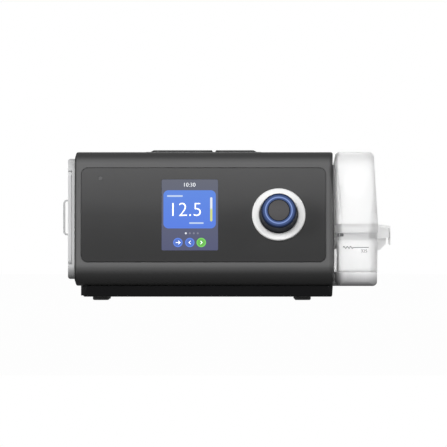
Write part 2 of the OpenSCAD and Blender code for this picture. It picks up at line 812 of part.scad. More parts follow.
module rear_panel() color([0.16, 0.16, 0.17]) difference() {
    along_y(rear_y - rear_sink, rear_face) translate([rear_x + rear_w / 2, rear_z + rear_h / 2])
        round_rect(rear_w, rear_h, rear_r - fit);
    back = rear_y - rear_sink - over;
    for (s = rear_spots) along_y(back, rear_face + over) translate(s) circle(screw_r + running);
    along_y(back, rear_face + over) translate([jack_x, jack_z]) circle(jack_barrel_r + fit);
    box([card_x - card_w / 2 - play, back, card_z - play],
        [card_x + card_w / 2 + play, rear_face + over, card_z + card_t + play]);
    for (i = [0 : vent_count - 1]) along_y(back, rear_face + over)
        translate([rear_x + rear_w / 2 + (i - (vent_count - 1) / 2) * vent_pitch, vent_top - vent_h / 2])
            round_rect(vent_w, vent_h, vent_w / 2 - fit);
}

// Screws under the heads' recess: the head lies in the piece that it holds
module screw(shank, head_r, head_h, r = screw_r) {
    difference() {
        union() {
            translate([0, 0, -head_h / 4]) cylinder(h = shank + head_h / 4, r = r);
            translate([0, 0, -head_h]) cylinder(h = head_h, r = head_r);
        }
        translate([0, 0, -head_h - eps]) cylinder(h = head_h / 2, r = head_r / 2, $fn = 6);
    }
}

module rear_screws() color("dimgray") for (s = rear_spots)
    translate([s[0], rear_face, s[1]]) rotate([90, 0, 0])
        screw(rear_boss_l - 2 * fit, screw_head_r, screw_head_h);

module base_screws() color("dimgray") for (s = base_screw_spots)
    translate([s[0], s[1], tray_top + head_seat])
        screw(seam_z + base_boss_h - tray_top - boss_r, screw_head_r, screw_head_h);

module tray_form(w) {
    left = body_left + tray_inset;
    ahead = front_y + chin_r;
    rear = rear_y - tray_inset;
    front = [[left + tray_draft, foot_h], [body_right - tray_lean, foot_h], [body_right, seam_z],
        [left, seam_z]];
    side = [[ahead + tray_draft, foot_h], [rear, foot_h], [rear, seam_z], [ahead, seam_z]];
    intersection() {
        along_y(-far, far) rounded(front, [tray_edge_r, tray_edge_r, sharp_r, sharp_r], w);
        along_x(-far, far) rounded(side, [tray_edge_r, tray_edge_r, sharp_r, sharp_r], w);
        translate([0, 0, foot_h]) linear_extrude(tray_h)
            rounded(corners(left, ahead, body_right, rear),
                [tray_corner_r, tray_corner_r, flat_r, flat_r], w);
    }
}

module base_tray() color([0.13, 0.13, 0.14]) difference() {
    union() {
        difference() {
            tray_form(0);
            intersection() {
                tray_form(tray_wall);
                box([-far, -far, tray_top], [far, far, seam_z]);
            }
            box([body_left + tray_inset + 3 * tray_wall, front_y + chin_r + foot_edge,
                seam_z - tray_wall - over], [body_right - tray_wall - foot_edge,
                rear_y - tray_inset - foot_edge, seam_z + over]);
        }
        for (s = base_screw_spots) translate([s[0], s[1], foot_h + over])
            cylinder(h = tray_h - over, r = boss_r + over);
        for (s = muffler_posts) translate([s[0], s[1], foot_h + over])
            cylinder(h = lip_z - foot_h - over, r = muffler_post_r);
        // posts that centre the heater's springs
        for (s = spring_spots) translate([s[0], s[1], foot_h + over])
            cylinder(h = tray_wall - over + spring_l - heater_travel - play,
                r = spring_r - spring_wall - play);
    }
    for (s = base_screw_spots) translate([s[0], s[1], -over]) {
        cylinder(h = seam_z + 2 * over, r = screw_r + running);
        cylinder(h = tray_top + head_seat + over, r = screw_head_r + head_gap);
    }
    for (s = foot_spots) translate([s[0], s[1], foot_h - over]) cylinder(h = 2 * over, r = foot_plug_r + fit);
    // notch under the chamber's shelf
    box([dock_x - foot_edge, dock_y - dock_half, chamber_z - heater_gap - head_gap],
        [far, dock_y + dock_half, far]);
}

module feet() color([0.08, 0.08, 0.08]) for (s = foot_spots) translate([s[0], s[1], 0]) {
    cylinder(h = foot_bevel, r1 = foot_r - foot_bevel, r2 = foot_r);
    translate([0, 0, foot_bevel]) cylinder(h = foot_h - foot_bevel, r = foot_r);
    cylinder(h = foot_h + over, r = foot_plug_r);
}

module right_trim() color([0.14, 0.14, 0.15]) difference() {
    along_x(body_right, body_right + trim_t) translate([chamber_mid, (trim_z + trim_top) / 2])
        round_rect(chamber_l - 2 * trim_inset, trim_top - trim_z, trim_r);
    along_x(body_right - over, body_right + trim_t + over) dock_window();
    along_x(body_right - over, body_right + trim_t + over) translate([duct_y, duct_z])
        circle(duct_r + face_seal_w + fit);
}

module face_plate() color([0.3, 0.3, 0.31]) difference() {
    panel_block(plate_x, 0, -plate_sink, plate_proud,
        [plate_w - 2 * plate_groove, plate_h - 2 * plate_groove], plate_r - plate_groove);
    panel_block(screen_x, 0, -plate_sink - over, far, [screen_w + 2 * fit, screen_h + 2 * fit],
        window_r + fit);
    panel_cylinder(sensor_x, sensor_v, -plate_sink - over, far, sensor_r + fit);
    panel_cylinder(dial_x, 0, -plate_sink - over, far, hub_hole_r);
}

module display_window() color([0.2, 0.25, 0.45, 0.8])
    panel_block(screen_x, 0, -plate_sink, window_t - plate_sink, [screen_w, screen_h], window_r);

module display_module() color([0.25, 0.3, 0.5]) {
    panel_block(screen_x, 0, -wall - module_t, -wall,
        screen_hole + 2 * [module_border, module_border], window_seat);
    // flat connector to the control board
    panel_block(screen_x, -screen_h / 4, board_face, -wall - module_t, [connector_w, connector_d],
        sharp_r);
}

module light_sensor_window() color([0.35, 0.35, 0.36])
    panel_cylinder(sensor_x, sensor_v, -plate_sink, plate_proud, sensor_r);

module dial_ring() color([0.9, 0.9, 0.9]) on_panel() translate([dial_x, 0, plate_proud])
    rotate_extrude($fn = 96) difference() {
        union() {
            translate([knob_r + play, 0]) square([ring_r - knob_r - play, ring_h - ring_edge_r]);
            translate([knob_r + play + ring_edge_r, 0])
                square([ring_r - knob_r - play - 2 * ring_edge_r, ring_h]);
            for (x = [knob_r + play + ring_edge_r, ring_r - ring_edge_r]) translate([x, ring_h - ring_edge_r])
                circle(ring_edge_r);
        }
        translate([0, -ring_h]) square([ring_r + over, ring_h]);
    }

// The knob's wall: a foot, a gentle taper and a rounded front edge
module knob_body() color([0.1, 0.1, 0.11]) on_panel() translate([dial_x, 0, 0]) rotate_extrude($fn = 96)
    difference() {
        intersection() {
            rounded([[-over, knob_foot], [knob_r, knob_foot], [knob_face_r + lean_in, knob_rise],
                [-over, knob_rise]], [sharp_r, sharp_r, knob_edge_r, sharp_r]);
            square([knob_r + over, knob_rise + over]);
        }
        // lit ring's seat and the cap's seat
        translate([glow_r - glow_w, knob_rise - glow_t]) square([glow_w, glow_t + over]);
        translate([-over, knob_rise - glow_t]) square([cap_seat_r + over, glow_t + over]);
        // hollow under the face, with a hub in the middle
        hollow_h = knob_rise - glow_t - knob_wall - knob_foot + over;
        translate([hub_r, knob_foot - over]) square([knob_face_r - knob_wall - hub_r, hollow_h]);
        translate([-over, knob_foot - over]) square([shaft_r + running / 2 + over, hollow_h]);
    }

module knob_light_ring() color([0.3, 0.5, 0.95]) on_panel() translate([dial_x, 0, knob_rise - glow_t])
    rotate_extrude($fn = 96) translate([glow_r - glow_w + fit / 2, 0])
        square([glow_w - fit, glow_t + glow_proud]);

module knob_cap() color([0.3, 0.3, 0.32]) on_panel() translate([dial_x, 0, knob_rise - glow_t])
    rotate_extrude($fn = 96) intersection() {
        square([cap_seat_r - fit, glow_t + cap_rise]);
        translate([0, glow_t + cap_rise - cap_dome_r]) circle(cap_dome_r, $fn = 400);
    }

module encoder_shaft() color("silver")
    panel_cylinder(dial_x, 0, board_face + plunger_z + plunger_t + fit,
        knob_rise - glow_t - knob_wall - fit, shaft_r);

module push_plunger() color([0.85, 0.82, 0.7])
    panel_cylinder(dial_x, 0, board_face + plunger_z, board_face + plunger_z + plunger_t, shaft_r);

module encoder_body() color([0.4, 0.42, 0.4]) difference() {
    union() {
        panel_block(dial_x, 0, board_face, encoder_top, [encoder_w, encoder_w], sharp_r);
        panel_cylinder(dial_x, 0, encoder_top - eps, plate_proud, hub_r);
    }
    panel_cylinder(dial_x, 0, board_face + head_gap, far, shaft_r + running);
}

module control_board() color([0.1, 0.35, 0.2]) difference() {
    union() {
        panel_block(board_x, 0, board_face - board_t, board_face, [board_w, board_h], edge_r);
        // processor, driver and plug: place along the board, place up it, width, height, thickness
        for (c = chips)
            panel_block(board_x + c[0] * board_w, c[1] * board_h, board_face - board_t - c[4],
                board_face - board_t, [c[2], c[3]], sharp_r);
    }
    for (s = board_spots) panel_cylinder(s[0], s[1], board_face - board_t - over, board_face + over,
        board_screw_r + fit);
}

module board_screws() color("silver") for (s = board_spots)
    on_panel() translate([s[0], s[1], board_face - board_t])
        screw(board_screw_l, 2 * board_screw_r, board_screw_r, board_screw_r);

// A button's cap, its retaining lip and its two stems. The cap's outer end slopes; the other is steep.
module top_button(x, w, outer) {
    foot = lip_top - eps;
    run = outer < 0 ? [button_slope, button_steep] : [button_steep, button_slope];
    bend = outer < 0 ? [button_bend, steep_bend] : [steep_bend, button_bend];
    cap = [[-w / 2, foot], [w / 2, foot], [w / 2, body_h], [w / 2 - run[1], button_top],
        [run[0] - w / 2, button_top], [-w / 2, body_h]];
    side = corners(-button_d / 2, foot, button_d / 2, button_top);
    translate([x, button_y, 0]) {
        intersection() {
            along_y(-button_d, button_d) rounded(cap, [sharp_r, sharp_r, bend[1], bend[1], bend[0], bend[0]]);
            along_x(-w, w) rounded(side, [sharp_r, sharp_r, edge_r, edge_r]);
            linear_extrude(far) round_rect(w, button_d, button_r);
        }
        translate([0, 0, lip_foot]) linear_extrude(lip_t) round_rect(w + over, button_d + 2 * over, button_r);
        for (s = [-1, 1]) translate([s * w / 4, 0, stem_end])
            cylinder(h = lip_foot - stem_end + eps, r = stem_r);
    }
}
module start_button() color([0.23, 0.23, 0.24]) top_button(start_x, start_w, -1);
module home_button() color([0.23, 0.23, 0.24]) top_button(home_x, home_w, 1);

module button_bezel() color([0.16, 0.16, 0.17]) difference() {
    translate([bezel_x, button_y, top_inside]) linear_extrude(wall + bezel_proud)
        round_rect(bezel_w, bezel_d, button_r + bezel_rim - fit);
    for (b = [[start_x, start_w], [home_x, home_w]]) translate([b[0], button_y, 0]) linear_extrude(far)
        round_rect(b[1] + 2 * play, button_d + 2 * play, button_r + play);
}

module button_board() color([0.1, 0.35, 0.2]) {
    translate([bezel_x, button_y, switch_board]) linear_extrude(board_t)
        round_rect(bezel_w + 2 * over, bezel_d + 2 * switch_post_in, bezel_rim);
    for (b = [[start_x, start_w], [home_x, home_w]], s = [-1, 1])
        translate([b[0] + s * b[1] / 4, button_y, switch_board]) {
            translate([-switch_w / 2, -switch_w / 2, 0]) cube([switch_w, switch_w, switch_h - foot_bevel]);
            cylinder(h = switch_h, r = switch_tip_r);
        }
}

// The side frame: an inner layer against the wall, and an outer layer round the door
module side_frame() color([0.78, 0.79, 0.8]) difference() {
    union() {
        along_x(door_x, bulge_x) translate([frame_y, frame_mid_z]) round_rect(frame_d, frame_h, side_r);
        intersection() {
            along_x(door_x - door_t, door_x + eps) translate([frame_y, frame_mid_z])
                round_rect(frame_d, frame_h, side_r);
            along_y(-far, far) rounded(corners(door_x - door_t, frame_mid_z - frame_h / 2, 0,
                frame_mid_z + frame_h / 2), [frame_edge_r, sharp_r, sharp_r, frame_edge_r]);
            union() {
                box([-far, -far, 0], [0, far, door_z - play]);
                box([-far, -far, door_z + door_h + play], [0, far, far]);
                box([-far, hinge_y + barrel_r + play, 0], [0, far, far]);
            }
        }
    }
    along_x(door_x - over, bulge_x + over) translate([filter_y, filter_z])
        round_rect(filter_d + 2 * fit, filter_h + 2 * fit, filter_r);
    translate([hinge_x, hinge_y, door_z - hinge_end]) cylinder(h = door_h + 2 * hinge_end, r = hinge_r + fit);
}

module filter_door() color([0.8, 0.81, 0.82]) difference() {
    union() {
        along_x(door_x - door_t, door_x - play) translate([0, door_mid_z])
            rounded(corners(door_front, -door_h / 2, hinge_y, door_h / 2),
                [side_r, sharp_r, sharp_r, side_r]);
        translate([hinge_x, hinge_y, door_z]) cylinder(h = door_h, r = barrel_r);
    }
    translate([hinge_x, hinge_y, door_z - over]) cylinder(h = door_h + 2 * over, r = hinge_r + running);
    // finger hollow behind the grip
    hollow_half = grip_h / 2 - grip_t - hollow_step;
    box([-far, door_front + grip_front - 2 * over, door_mid_z - hollow_half],
        [door_x - door_t + hollow_t, door_front + grip_front + grip_d + 2 * over, door_mid_z + hollow_half]);
    for (i = [0 : louvre_count - 1]) {
        z = door_mid_z + (i - (louvre_count - 1) / 2) * louvre_pitch;
        along_x(door_x - door_t - over, door_x + over) translate([filter_y + louvre_rear, z])
            round_rect(louvre_d, louvre_h, louvre_h / 2 - fit);
    }
}

// The grip: a bar with two legs, round at its outer corners
module door_grip() color([0.84, 0.85, 0.86]) along_y(grip_y, grip_y + grip_d)
    translate([door_x - door_t - grip_out, door_mid_z]) difference() {
        intersection() {
            translate([grip_out, 0]) round_rect(2 * grip_out, grip_h, grip_r);
            translate([0, -grip_h]) square([grip_out, 2 * grip_h]);
        }
        translate([grip_t + grip_out, 0]) round_rect(2 * grip_out, grip_h - 2 * grip_t, grip_r / 2);
    }

module door_hinge_pin() color("silver") translate([hinge_x, hinge_y, door_z - hinge_end + fit])
    cylinder(h = door_h + 2 * hinge_end - 2 * fit, r = hinge_r);

// The filter lies on its grille, which closes the window from inside the cover
module inlet_filter() color([0.92, 0.92, 0.9]) along_x(door_x + play, bulge_x + wall)
    translate([filter_y, filter_z]) round_rect(filter_d, filter_h, filter_r - fit);

module filter_grille() color([0.25, 0.25, 0.26]) along_x(bulge_x + wall, bulge_x + wall + grille_t)
    translate([filter_y, filter_z]) {
        difference() {
            round_rect(filter_d + 2 * grille_lap, filter_h + 2 * grille_lap, filter_r);
            round_rect(grille_hole[0], grille_hole[1], edge_r);
        }
        for (i = [1 : grille_count]) {
            along = i / (grille_count + 1) - 0.5;
            translate([along * grille_hole[0] - grille_bar / 2, -grille_hole[1] / 2])
                square([grille_bar, grille_hole[1]]);
            translate([-grille_hole[0] / 2, along * grille_hole[1] - grille_bar / 2])
                square([grille_hole[0], grille_bar]);
        }
    }

// The chamber's plan
module chamber_plan(w) {
    rounded(corners(chamber_x, chamber_y, chamber_right, chamber_y + chamber_l),
        [chamber_r, chamber_r, chamber_r, chamber_r], w);
}

// The chamber's form below the lid, moved inwards by w: the part outside the cover, and the shelf
module tub_outside(w, z0, z1) {
    front = [[chamber_x, chamber_z + undercut_h], [chamber_x + tub_undercut, chamber_z],
        [chamber_right - tub_draft, chamber_z], [chamber_right, draft_top], [chamber_x, draft_top]];
    intersection() {
        along_y(-far, far) rounded(front, [edge_r, edge_r, tub_edge_r, over, over], w);
        along_x(-far, far) rounded(corners(chamber_y, chamber_z, chamber_y + chamber_l, far),
            [tub_edge_r, tub_edge_r, over, over], w);
        translate([0, 0, z0]) linear_extrude(z1 - z0) chamber_plan(w);
    }
}
module shelf(w, z0) {
    intersection() {
        along_x(chamber_x - shelf_x + w, chamber_x + 2 * clear_wall)
            translate([chamber_mid, (chamber_z + shelf_top) / 2])
                round_rect(shelf_l - 2 * w, shelf_top - chamber_z - 2 * w, max(shelf_r - w, sharp_r));
        box([-far, -far, z0], [far, far, far]);
    }
}

module chamber_tub() color([0.85, 0.88, 0.9, 0.5]) {
    inner = pan_t + fit + clear_wall;
    pan_top = chamber_z + pan_h;
    difference() {
        union() {
            tub_outside(0, pan_top + fit, tub_rim_z + eps);
            tub_outside(pan_t + fit, chamber_z + pan_t + fit, pan_top + fit + eps);
            intersection() {
                tub_outside(0, tub_rim_z, tub_top);
                box([-far, -far, tub_rim_z], [far, far, tub_top]);
            }
            shelf(0, pan_top + fit);
            shelf_foot();
            tub_lip();
        }
        // water space: open above and below
        tub_outside(inner, 0, tub_rim_z);
        translate([0, 0, -2 * inner]) tub_outside(inner, chamber_z, tub_rim_z);
        tub_outside(rim_w, tub_rim_z - 2 * over, tub_top + over);
        shelf(inner, 0);
        translate([0, 0, -2 * inner]) shelf(inner, 0);
        seal_ring(seal_w / 2 + fit / 2, tub_top - seal_h, tub_top + over);
    }
}

// The shelf's sides inside the pan
module shelf_foot() {
    intersection() {
        shelf(pan_t + fit, 0);
        box([-far, -far, 0], [far, far, chamber_z + pan_h + fit + eps]);
    }
}

// The tub's lip with its gusset, under the lid's ledge
module tub_lip() {
    top = tub_top - lip_drop;
    foot = top - lip_h;
    along_y(chamber_mid - tab_d / 2 + tab_r, chamber_mid + tab_d / 2 - tab_r) difference() {
        translate([chamber_right - clear_wall / 2, foot]) square([lip_x + clear_wall / 2, lip_h]);
        translate([chamber_right + lip_x + over, foot - over]) circle(lip_h - over);
    }
}

// A closed loop that follows the chamber's outline, of half width h
module seal_ring(h, z0, z1) {
    difference() {
        tub_outside(rim_w / 2 - h, z0, z1);
        tub_outside(rim_w / 2 + h, z0 - over, z1 + over);
    }
}

module lid_seal() color([0.85, 0.85, 0.87, 0.7]) seal_ring(seal_w / 2, tub_top - seal_h, lid_z);

// The metal pan: the chamber's floor and its turned-up side
module chamber_pan() color([0.62, 0.63, 0.65]) difference() {
    union() {
        tub_outside(0, 0, chamber_z + pan_h);
        intersection() {
            shelf(0, 0);
            box([-far, -far, 0], [far, far, chamber_z + pan_h]);
        }
    }
    tub_outside(pan_t, chamber_z, chamber_z + pan_h + over);
    intersection() {
        shelf(pan_t, 0);
        box([-far, -far, 0], [far, far, shelf_top]);
    }
}

// The dome's form, moved inwards by w
module dome_form(w, z0) {
    ends = chamber_y + chamber_l;
    foot = lid_z + lid_rim_h;
    front = [[chamber_x, z0], [chamber_right, z0], [chamber_right, foot],
        [chamber_right - dome_lean, dome_top], [chamber_x + dome_slant, dome_top],
        [chamber_x, dome_top - dome_slant_h]];
    side = [[chamber_y, z0], [ends, z0], [ends, foot], [ends - dome_end_lean, dome_top],
        [chamber_y + dome_end_lean, dome_top], [chamber_y, foot]];
    intersection() {
        along_y(-far, far) rounded(front, [sharp_r, sharp_r, flat_r, dome_r, edge_r, flat_r], w);
        along_x(-far, far) rounded(side, [sharp_r, sharp_r, flat_r, dome_r, dome_r, flat_r], w);
        linear_extrude(far) chamber_plan(w);
    }
}

module chamber_lid() color([0.9, 0.92, 0.94, 0.4]) difference() {
    union() {
        dome_form(0, lid_z);
        // hose port and its collar on the rear wall
        along_y(chamber_y + chamber_l - port_sink, hose_end - port_l) translate([hose_x, port_z])
            circle(collar_r);
        along_y(hose_end - port_l - eps, hose_end) translate([hose_x, port_z]) circle(port_r);
        lid_tab();
    }
    difference() {
        dome_form(clear_wall, 0);
        // thick rim at the foot
        difference() {
            box([-far, -far, 0], [far, far, lid_z + lid_rim_h]);
            tub_outside(rim_w, 0, lid_z + lid_rim_h + over);
        }
    }
    along_y(chamber_y + chamber_l - 2 * port_sink, hose_end + over) translate([hose_x, port_z])
        circle(port_r - port_wall);
    // air inlet that faces the cover's outlet
    along_x(chamber_x - over, chamber_x + clear_wall + over) translate([duct_y, duct_z]) circle(duct_r);
}

// The ledge that reaches past the chamber and the thin tab that hangs from it
module lid_tab() {
    top = lid_z + lid_rim_h;
    low = top - ledge_drop;
    reach = chamber_right + ledge_total;
    root = chamber_right - clear_wall + fit;
    translate([0, chamber_mid, 0]) intersection() {
        along_y(-tab_d / 2, tab_d / 2) polygon([[root, top], [chamber_right, top], [reach, low],
            [reach, low - tab_h], [reach - tab_t, low - tab_h], [reach - tab_t, low - ledge_t],
            [root, top - ledge_t]]);
        linear_extrude(far) rounded(corners(chamber_x, -tab_d / 2, reach, tab_d / 2),
            [over, tab_r, tab_r, over]);
    }
}

// Box that turns the incoming air down
module lid_baffle() color([0.9, 0.92, 0.94, 0.4]) {
    x0 = chamber_x + clear_wall + fit;
    reach = duct_r + edge_r + baffle_t;
    difference() {
        box([x0, duct_y - reach, baffle_foot], [x0 + baffle_x, duct_y + reach, duct_z + reach]);
        box([x0 - over, duct_y - reach + baffle_t, baffle_foot - over],
            [x0 + baffle_x - baffle_t, duct_y + reach - baffle_t, duct_z + reach - baffle_t]);
    }
}

// Dock: the channel that the chamber's shelf slides in
module dock() color([0.3, 0.3, 0.31]) difference() {
    box([dock_x - dock_wall, dock_y - dock_half - dock_wall, seam_z + fit],
        [body_right - wall, dock_y + dock_half + dock_wall, dock_top + dock_wall]);
    along_x(dock_x, body_right) dock_window();
}

module heater_plate() color([0.7, 0.7, 0.72])
    translate([heater_mid, dock_y, heater_z]) linear_extrude(heater_t)
        round_rect(heater_w, heater_d, heater_r);

module heater_carrier() color([0.15, 0.15, 0.15]) difference() {
    translate([heater_mid, dock_y, heater_z - carrier_t]) linear_extrude(carrier_t)
        round_rect(heater_w - 2 * carrier_in, heater_d - 2 * carrier_in, heater_r - carrier_in);
    for (s = spring_spots) translate([s[0], s[1], 0]) cylinder(h = far, r = spring_r - spring_wall);
}

module heater_springs() color("silver") for (s = spring_spots)
    translate([s[0], s[1], tray_top]) difference() {
        cylinder(h = spring_l, r = spring_r);
        translate([0, 0, -over]) cylinder(h = spring_l + 2 * over, r = spring_r - spring_wall);
    }

// Muffler: a low box under the blower and a tall part behind the filter
module muffler_form(w) {
    along_y(muffler_y - muffler_d / 2 + w, muffler_y + muffler_d / 2 - w)
        polygon([[muffler_x + w, lip_z + w], [muffler_right - w, lip_z + w],
            [muffler_right - w, muffler_top - w], [muffler_x + plenum_w - w, muffler_top - w],
            [muffler_x + plenum_w - w, plenum_top - w], [muffler_x + w, plenum_top - w]]);
}
module muffler_box() color([0.28, 0.28, 0.3]) difference() {
    muffler_form(0);
    muffler_form(muffler_wall);
    along_x(muffler_x - over, muffler_x + muffler_wall + over) translate([filter_y, filter_z])
        round_rect(grille_hole[0], grille_hole[1], edge_r);
    translate([blower_x, blower_y, muffler_top - muffler_wall - over])
        cylinder(h = muffler_wall + 2 * over, r = inlet_r);
}

module muffler_foam() color([0.35, 0.35, 0.37]) {
    w = muffler_wall + fit;
    box([muffler_x + w, muffler_y - muffler_d / 2 + w, lip_z + w],
        [muffler_right - w, muffler_y + muffler_d / 2 - w, lip_z + w + foam_t]);
    box([muffler_right - w - foam_t, muffler_y - muffler_d / 2 + w, lip_z + w + foam_t - eps],
        [muffler_right - w, muffler_y + muffler_d / 2 - w, muffler_top - w]);
}

module suction_sleeve() color([0.12, 0.12, 0.12]) translate([blower_x, blower_y, muffler_top]) difference() {
    cylinder(h = mount_h, r = inlet_r + sleeve_wall);
    translate([0, 0, -over]) cylinder(h = mount_h + 2 * over, r = inlet_r);
}

module blower_mounts() color([0.12, 0.12, 0.12]) for (a = [45 : 90 : 315])
    translate([blower_x, blower_y, muffler_top]) rotate(a) translate([volute_r - mount_r - mount_in, 0, 0])
        cylinder(h = mount_h, r = mount_r);

module volute_outline(w) {
    circle(volute_r - w, $fn = 96);
    translate([0, volute_r - 2 * duct_out - volute_wall + w])
        square([duct_x - blower_x - w, 2 * duct_out + volute_wall - 2 * w]);
}
module blower_volute() color([0.75, 0.76, 0.78]) difference() {
    translate([blower_x, blower_y, volute_z]) difference() {
        linear_extrude(volute_h) volute_outline(0);
        translate([0, 0, volute_wall]) linear_extrude(volute_h) volute_outline(volute_wall);
        translate([0, 0, -over]) cylinder(h = volute_wall + 2 * over, r = inlet_r);
    }
    along_x(duct_x - volute_wall - over, duct_x + over) translate([duct_y, duct_z]) circle(duct_r);
}

module blower_cover() color([0.7, 0.71, 0.73]) translate([blower_x, blower_y, cover_z]) difference() {
    linear_extrude(cover_t) volute_outline(0);
    translate([0, 0, -over]) cylinder(h = cover_t + 2 * over, r = motor_shaft_r + over);
}

// One impeller blade: an arc that leaves the hub square and bends back
module blade_outline() {
    bend = impeller_r * blade_bend;
    intersection() {
        translate([0, -bend]) difference() {
            circle(bend);
            circle(bend - blade_t);
        }
        translate([motor_shaft_r + 2 * over, -impeller_r]) square([impeller_r, impeller_r]);
        circle(impeller_r - blade_t / 2);
    }
}

// Impeller: a plate, its blades and a hub on the motor's shaft
module impeller() color([0.9, 0.9, 0.88]) {
    top = cover_z - impeller_gap;
    foot = impeller_foot;
    translate([blower_x, blower_y, 0]) difference() {
        union() {
            translate([0, 0, top - impeller_t]) cylinder(h = impeller_t, r = impeller_r);
            translate([0, 0, foot]) cylinder(h = top - foot, r = motor_shaft_r + 3 * over);
            for (i = [0 : blade_count - 1]) rotate(i * 360 / blade_count) translate([0, 0, foot + over])
                linear_extrude(top - foot - 2 * over) blade_outline();
        }
        translate([0, 0, volute_z]) cylinder(h = volute_h, r = motor_shaft_r + running / 2);
    }
}

module motor() color([0.55, 0.56, 0.58]) translate([blower_x, blower_y, motor_z]) difference() {
    union() {
        cylinder(h = motor_h, r = motor_r);
        cylinder(h = 2 * over, r = motor_r + flange_w);
    }
    translate([0, 0, -over]) cylinder(h = shaft_top - motor_z + 2 * over, r = motor_shaft_r + running);
}

module motor_shaft() color("silver") translate([blower_x, blower_y, impeller_foot])
    cylinder(h = shaft_top - impeller_foot, r = motor_shaft_r);

module outlet_duct() color([0.3, 0.31, 0.33]) difference() {
    along_x(duct_x, body_right - wall) translate([duct_y, duct_z]) circle(duct_out);
    along_x(duct_x - over, body_right) translate([duct_y, duct_z]) circle(duct_r);
}

// Flow sensor, saddled on the duct
module flow_sensor() color([0.1, 0.35, 0.2]) {
    x = (duct_x + body_right) / 2;
    difference() {
        box([x - flow_w / 2, duct_y - flow_d / 2, duct_z + duct_r],
            [x + flow_w / 2, duct_y + flow_d / 2, duct_z + duct_out + flow_h]);
        along_x(x - flow_w, x + flow_w) translate([duct_y, duct_z]) circle(duct_out + fit);
    }
}

module outlet_seal() color([0.1, 0.1, 0.1]) along_x(body_right - face_seal_sink, body_right + trim_t)
    translate([duct_y, duct_z]) difference() {
        circle(duct_r + face_seal_w);
        circle(duct_r);
    }

module power_board() color([0.1, 0.35, 0.2]) {
    tongue_half = card_w / 2 + play + cage_wall + capacitor_r / 2;
    box([jack_x - capacitor_h, board_rear - power_d, power_z],
        [card_x + card_w / 2 + capacitor_r, board_rear, power_z + board_t]);
    box([card_x - tongue_half, board_rear - card_l, power_z],
        [card_x + tongue_half, board_rear - power_d + over, power_z + board_t]);
    for (i = [0 : 2])
        translate([jack_x + capacitor_x + capacitor_pitch * i, board_rear - power_d / 2, power_z])
            cylinder(h = capacitor_h, r = capacitor_r);
}

module dc_jack() color([0.12, 0.12, 0.12]) {
    difference() {
        union() {
            box([jack_x - jack_case_w / 2, board_rear - jack_case_w, power_z + board_t],
                [jack_x + jack_case_w / 2, rear_y - wall, jack_z + jack_barrel_r + over]);
            along_y(rear_y - wall - eps, rear_face) translate([jack_x, jack_z]) circle(jack_barrel_r);
        }
        along_y(rear_face - jack_l, rear_face + over) translate([jack_x, jack_z]) circle(jack_r);
    }
    along_y(rear_face - jack_l - over, rear_face - over) translate([jack_x, jack_z]) circle(jack_pin_r);
}

// Metal cage that the memory card slides in
module card_slot() color("silver") difference() {
    box([card_x - card_w / 2 - play - cage_wall, board_rear - card_l, power_z + board_t],
        [card_x + card_w / 2 + play + cage_wall, rear_y - rear_sink, card_z + card_t + play + cage_wall]);
    box([card_x - card_w / 2 - play, board_rear - card_l + cage_wall, card_z - play],
        [card_x + card_w / 2 + play, rear_y + over, card_z + card_t + play]);
}

module memory_card() color([0.15, 0.2, 0.35]) translate([card_x, rear_face + card_out - card_l, card_z])
    linear_extrude(card_t) polygon([[-card_w / 2, card_cut], [card_cut - card_w / 2, 0], [card_w / 2, 0],
        [card_w / 2, card_l], [-card_w / 2, card_l]]);

housing();
rear_panel();
base_tray();
feet();
base_screws();
rear_screws();
face_plate();
display_window();
display_module();
light_sensor_window();
dial_ring();
knob_body();
knob_light_ring();
knob_cap();
encoder_body();
encoder_shaft();
push_plunger();
control_board();
board_screws();
start_button();
home_button();
button_bezel();
button_board();
side_frame();
filter_door();
door_grip();
door_hinge_pin();
inlet_filter();
filter_grille();
muffler_box();
muffler_foam();
blower_mounts();
suction_sleeve();
blower_volute();
blower_cover();
impeller();
motor();
motor_shaft();
outlet_duct();
flow_sensor();
outlet_seal();
right_trim();
dock();
heater_plate();
heater_carrier();
heater_springs();
chamber_tub();
chamber_pan();
lid_seal();
chamber_lid();
lid_baffle();
power_board();
dc_jack();
card_slot();
memory_card();
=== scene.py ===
"""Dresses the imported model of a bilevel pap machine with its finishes, screen picture, marks and studio."""
import logging
import math
from collections.abc import Callable, Iterable, Sequence
from dataclasses import dataclass, field
from enum import Enum

import bmesh
import bpy
from bpy.types import Material, Mesh, Node, NodeSocket, NodeTree, Object, World
from mathutils import Matrix, Vector


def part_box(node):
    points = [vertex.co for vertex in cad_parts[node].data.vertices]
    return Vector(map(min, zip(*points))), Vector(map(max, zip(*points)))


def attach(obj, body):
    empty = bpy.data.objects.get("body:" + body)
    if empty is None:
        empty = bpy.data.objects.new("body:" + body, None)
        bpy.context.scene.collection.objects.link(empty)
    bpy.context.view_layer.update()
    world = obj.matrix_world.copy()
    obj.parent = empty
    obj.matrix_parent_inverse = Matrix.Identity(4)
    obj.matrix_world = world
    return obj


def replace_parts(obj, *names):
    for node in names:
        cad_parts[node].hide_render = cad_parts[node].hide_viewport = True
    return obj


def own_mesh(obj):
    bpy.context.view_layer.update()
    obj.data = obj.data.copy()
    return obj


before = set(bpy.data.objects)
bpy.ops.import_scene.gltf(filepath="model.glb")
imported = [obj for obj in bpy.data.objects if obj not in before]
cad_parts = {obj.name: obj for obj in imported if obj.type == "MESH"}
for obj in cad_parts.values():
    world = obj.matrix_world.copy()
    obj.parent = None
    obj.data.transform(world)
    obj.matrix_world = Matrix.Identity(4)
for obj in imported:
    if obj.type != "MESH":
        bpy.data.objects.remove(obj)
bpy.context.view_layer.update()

logging.basicConfig(level=logging.INFO, format="%(levelname)s %(message)s")
LOG = logging.getLogger("pap_machine")

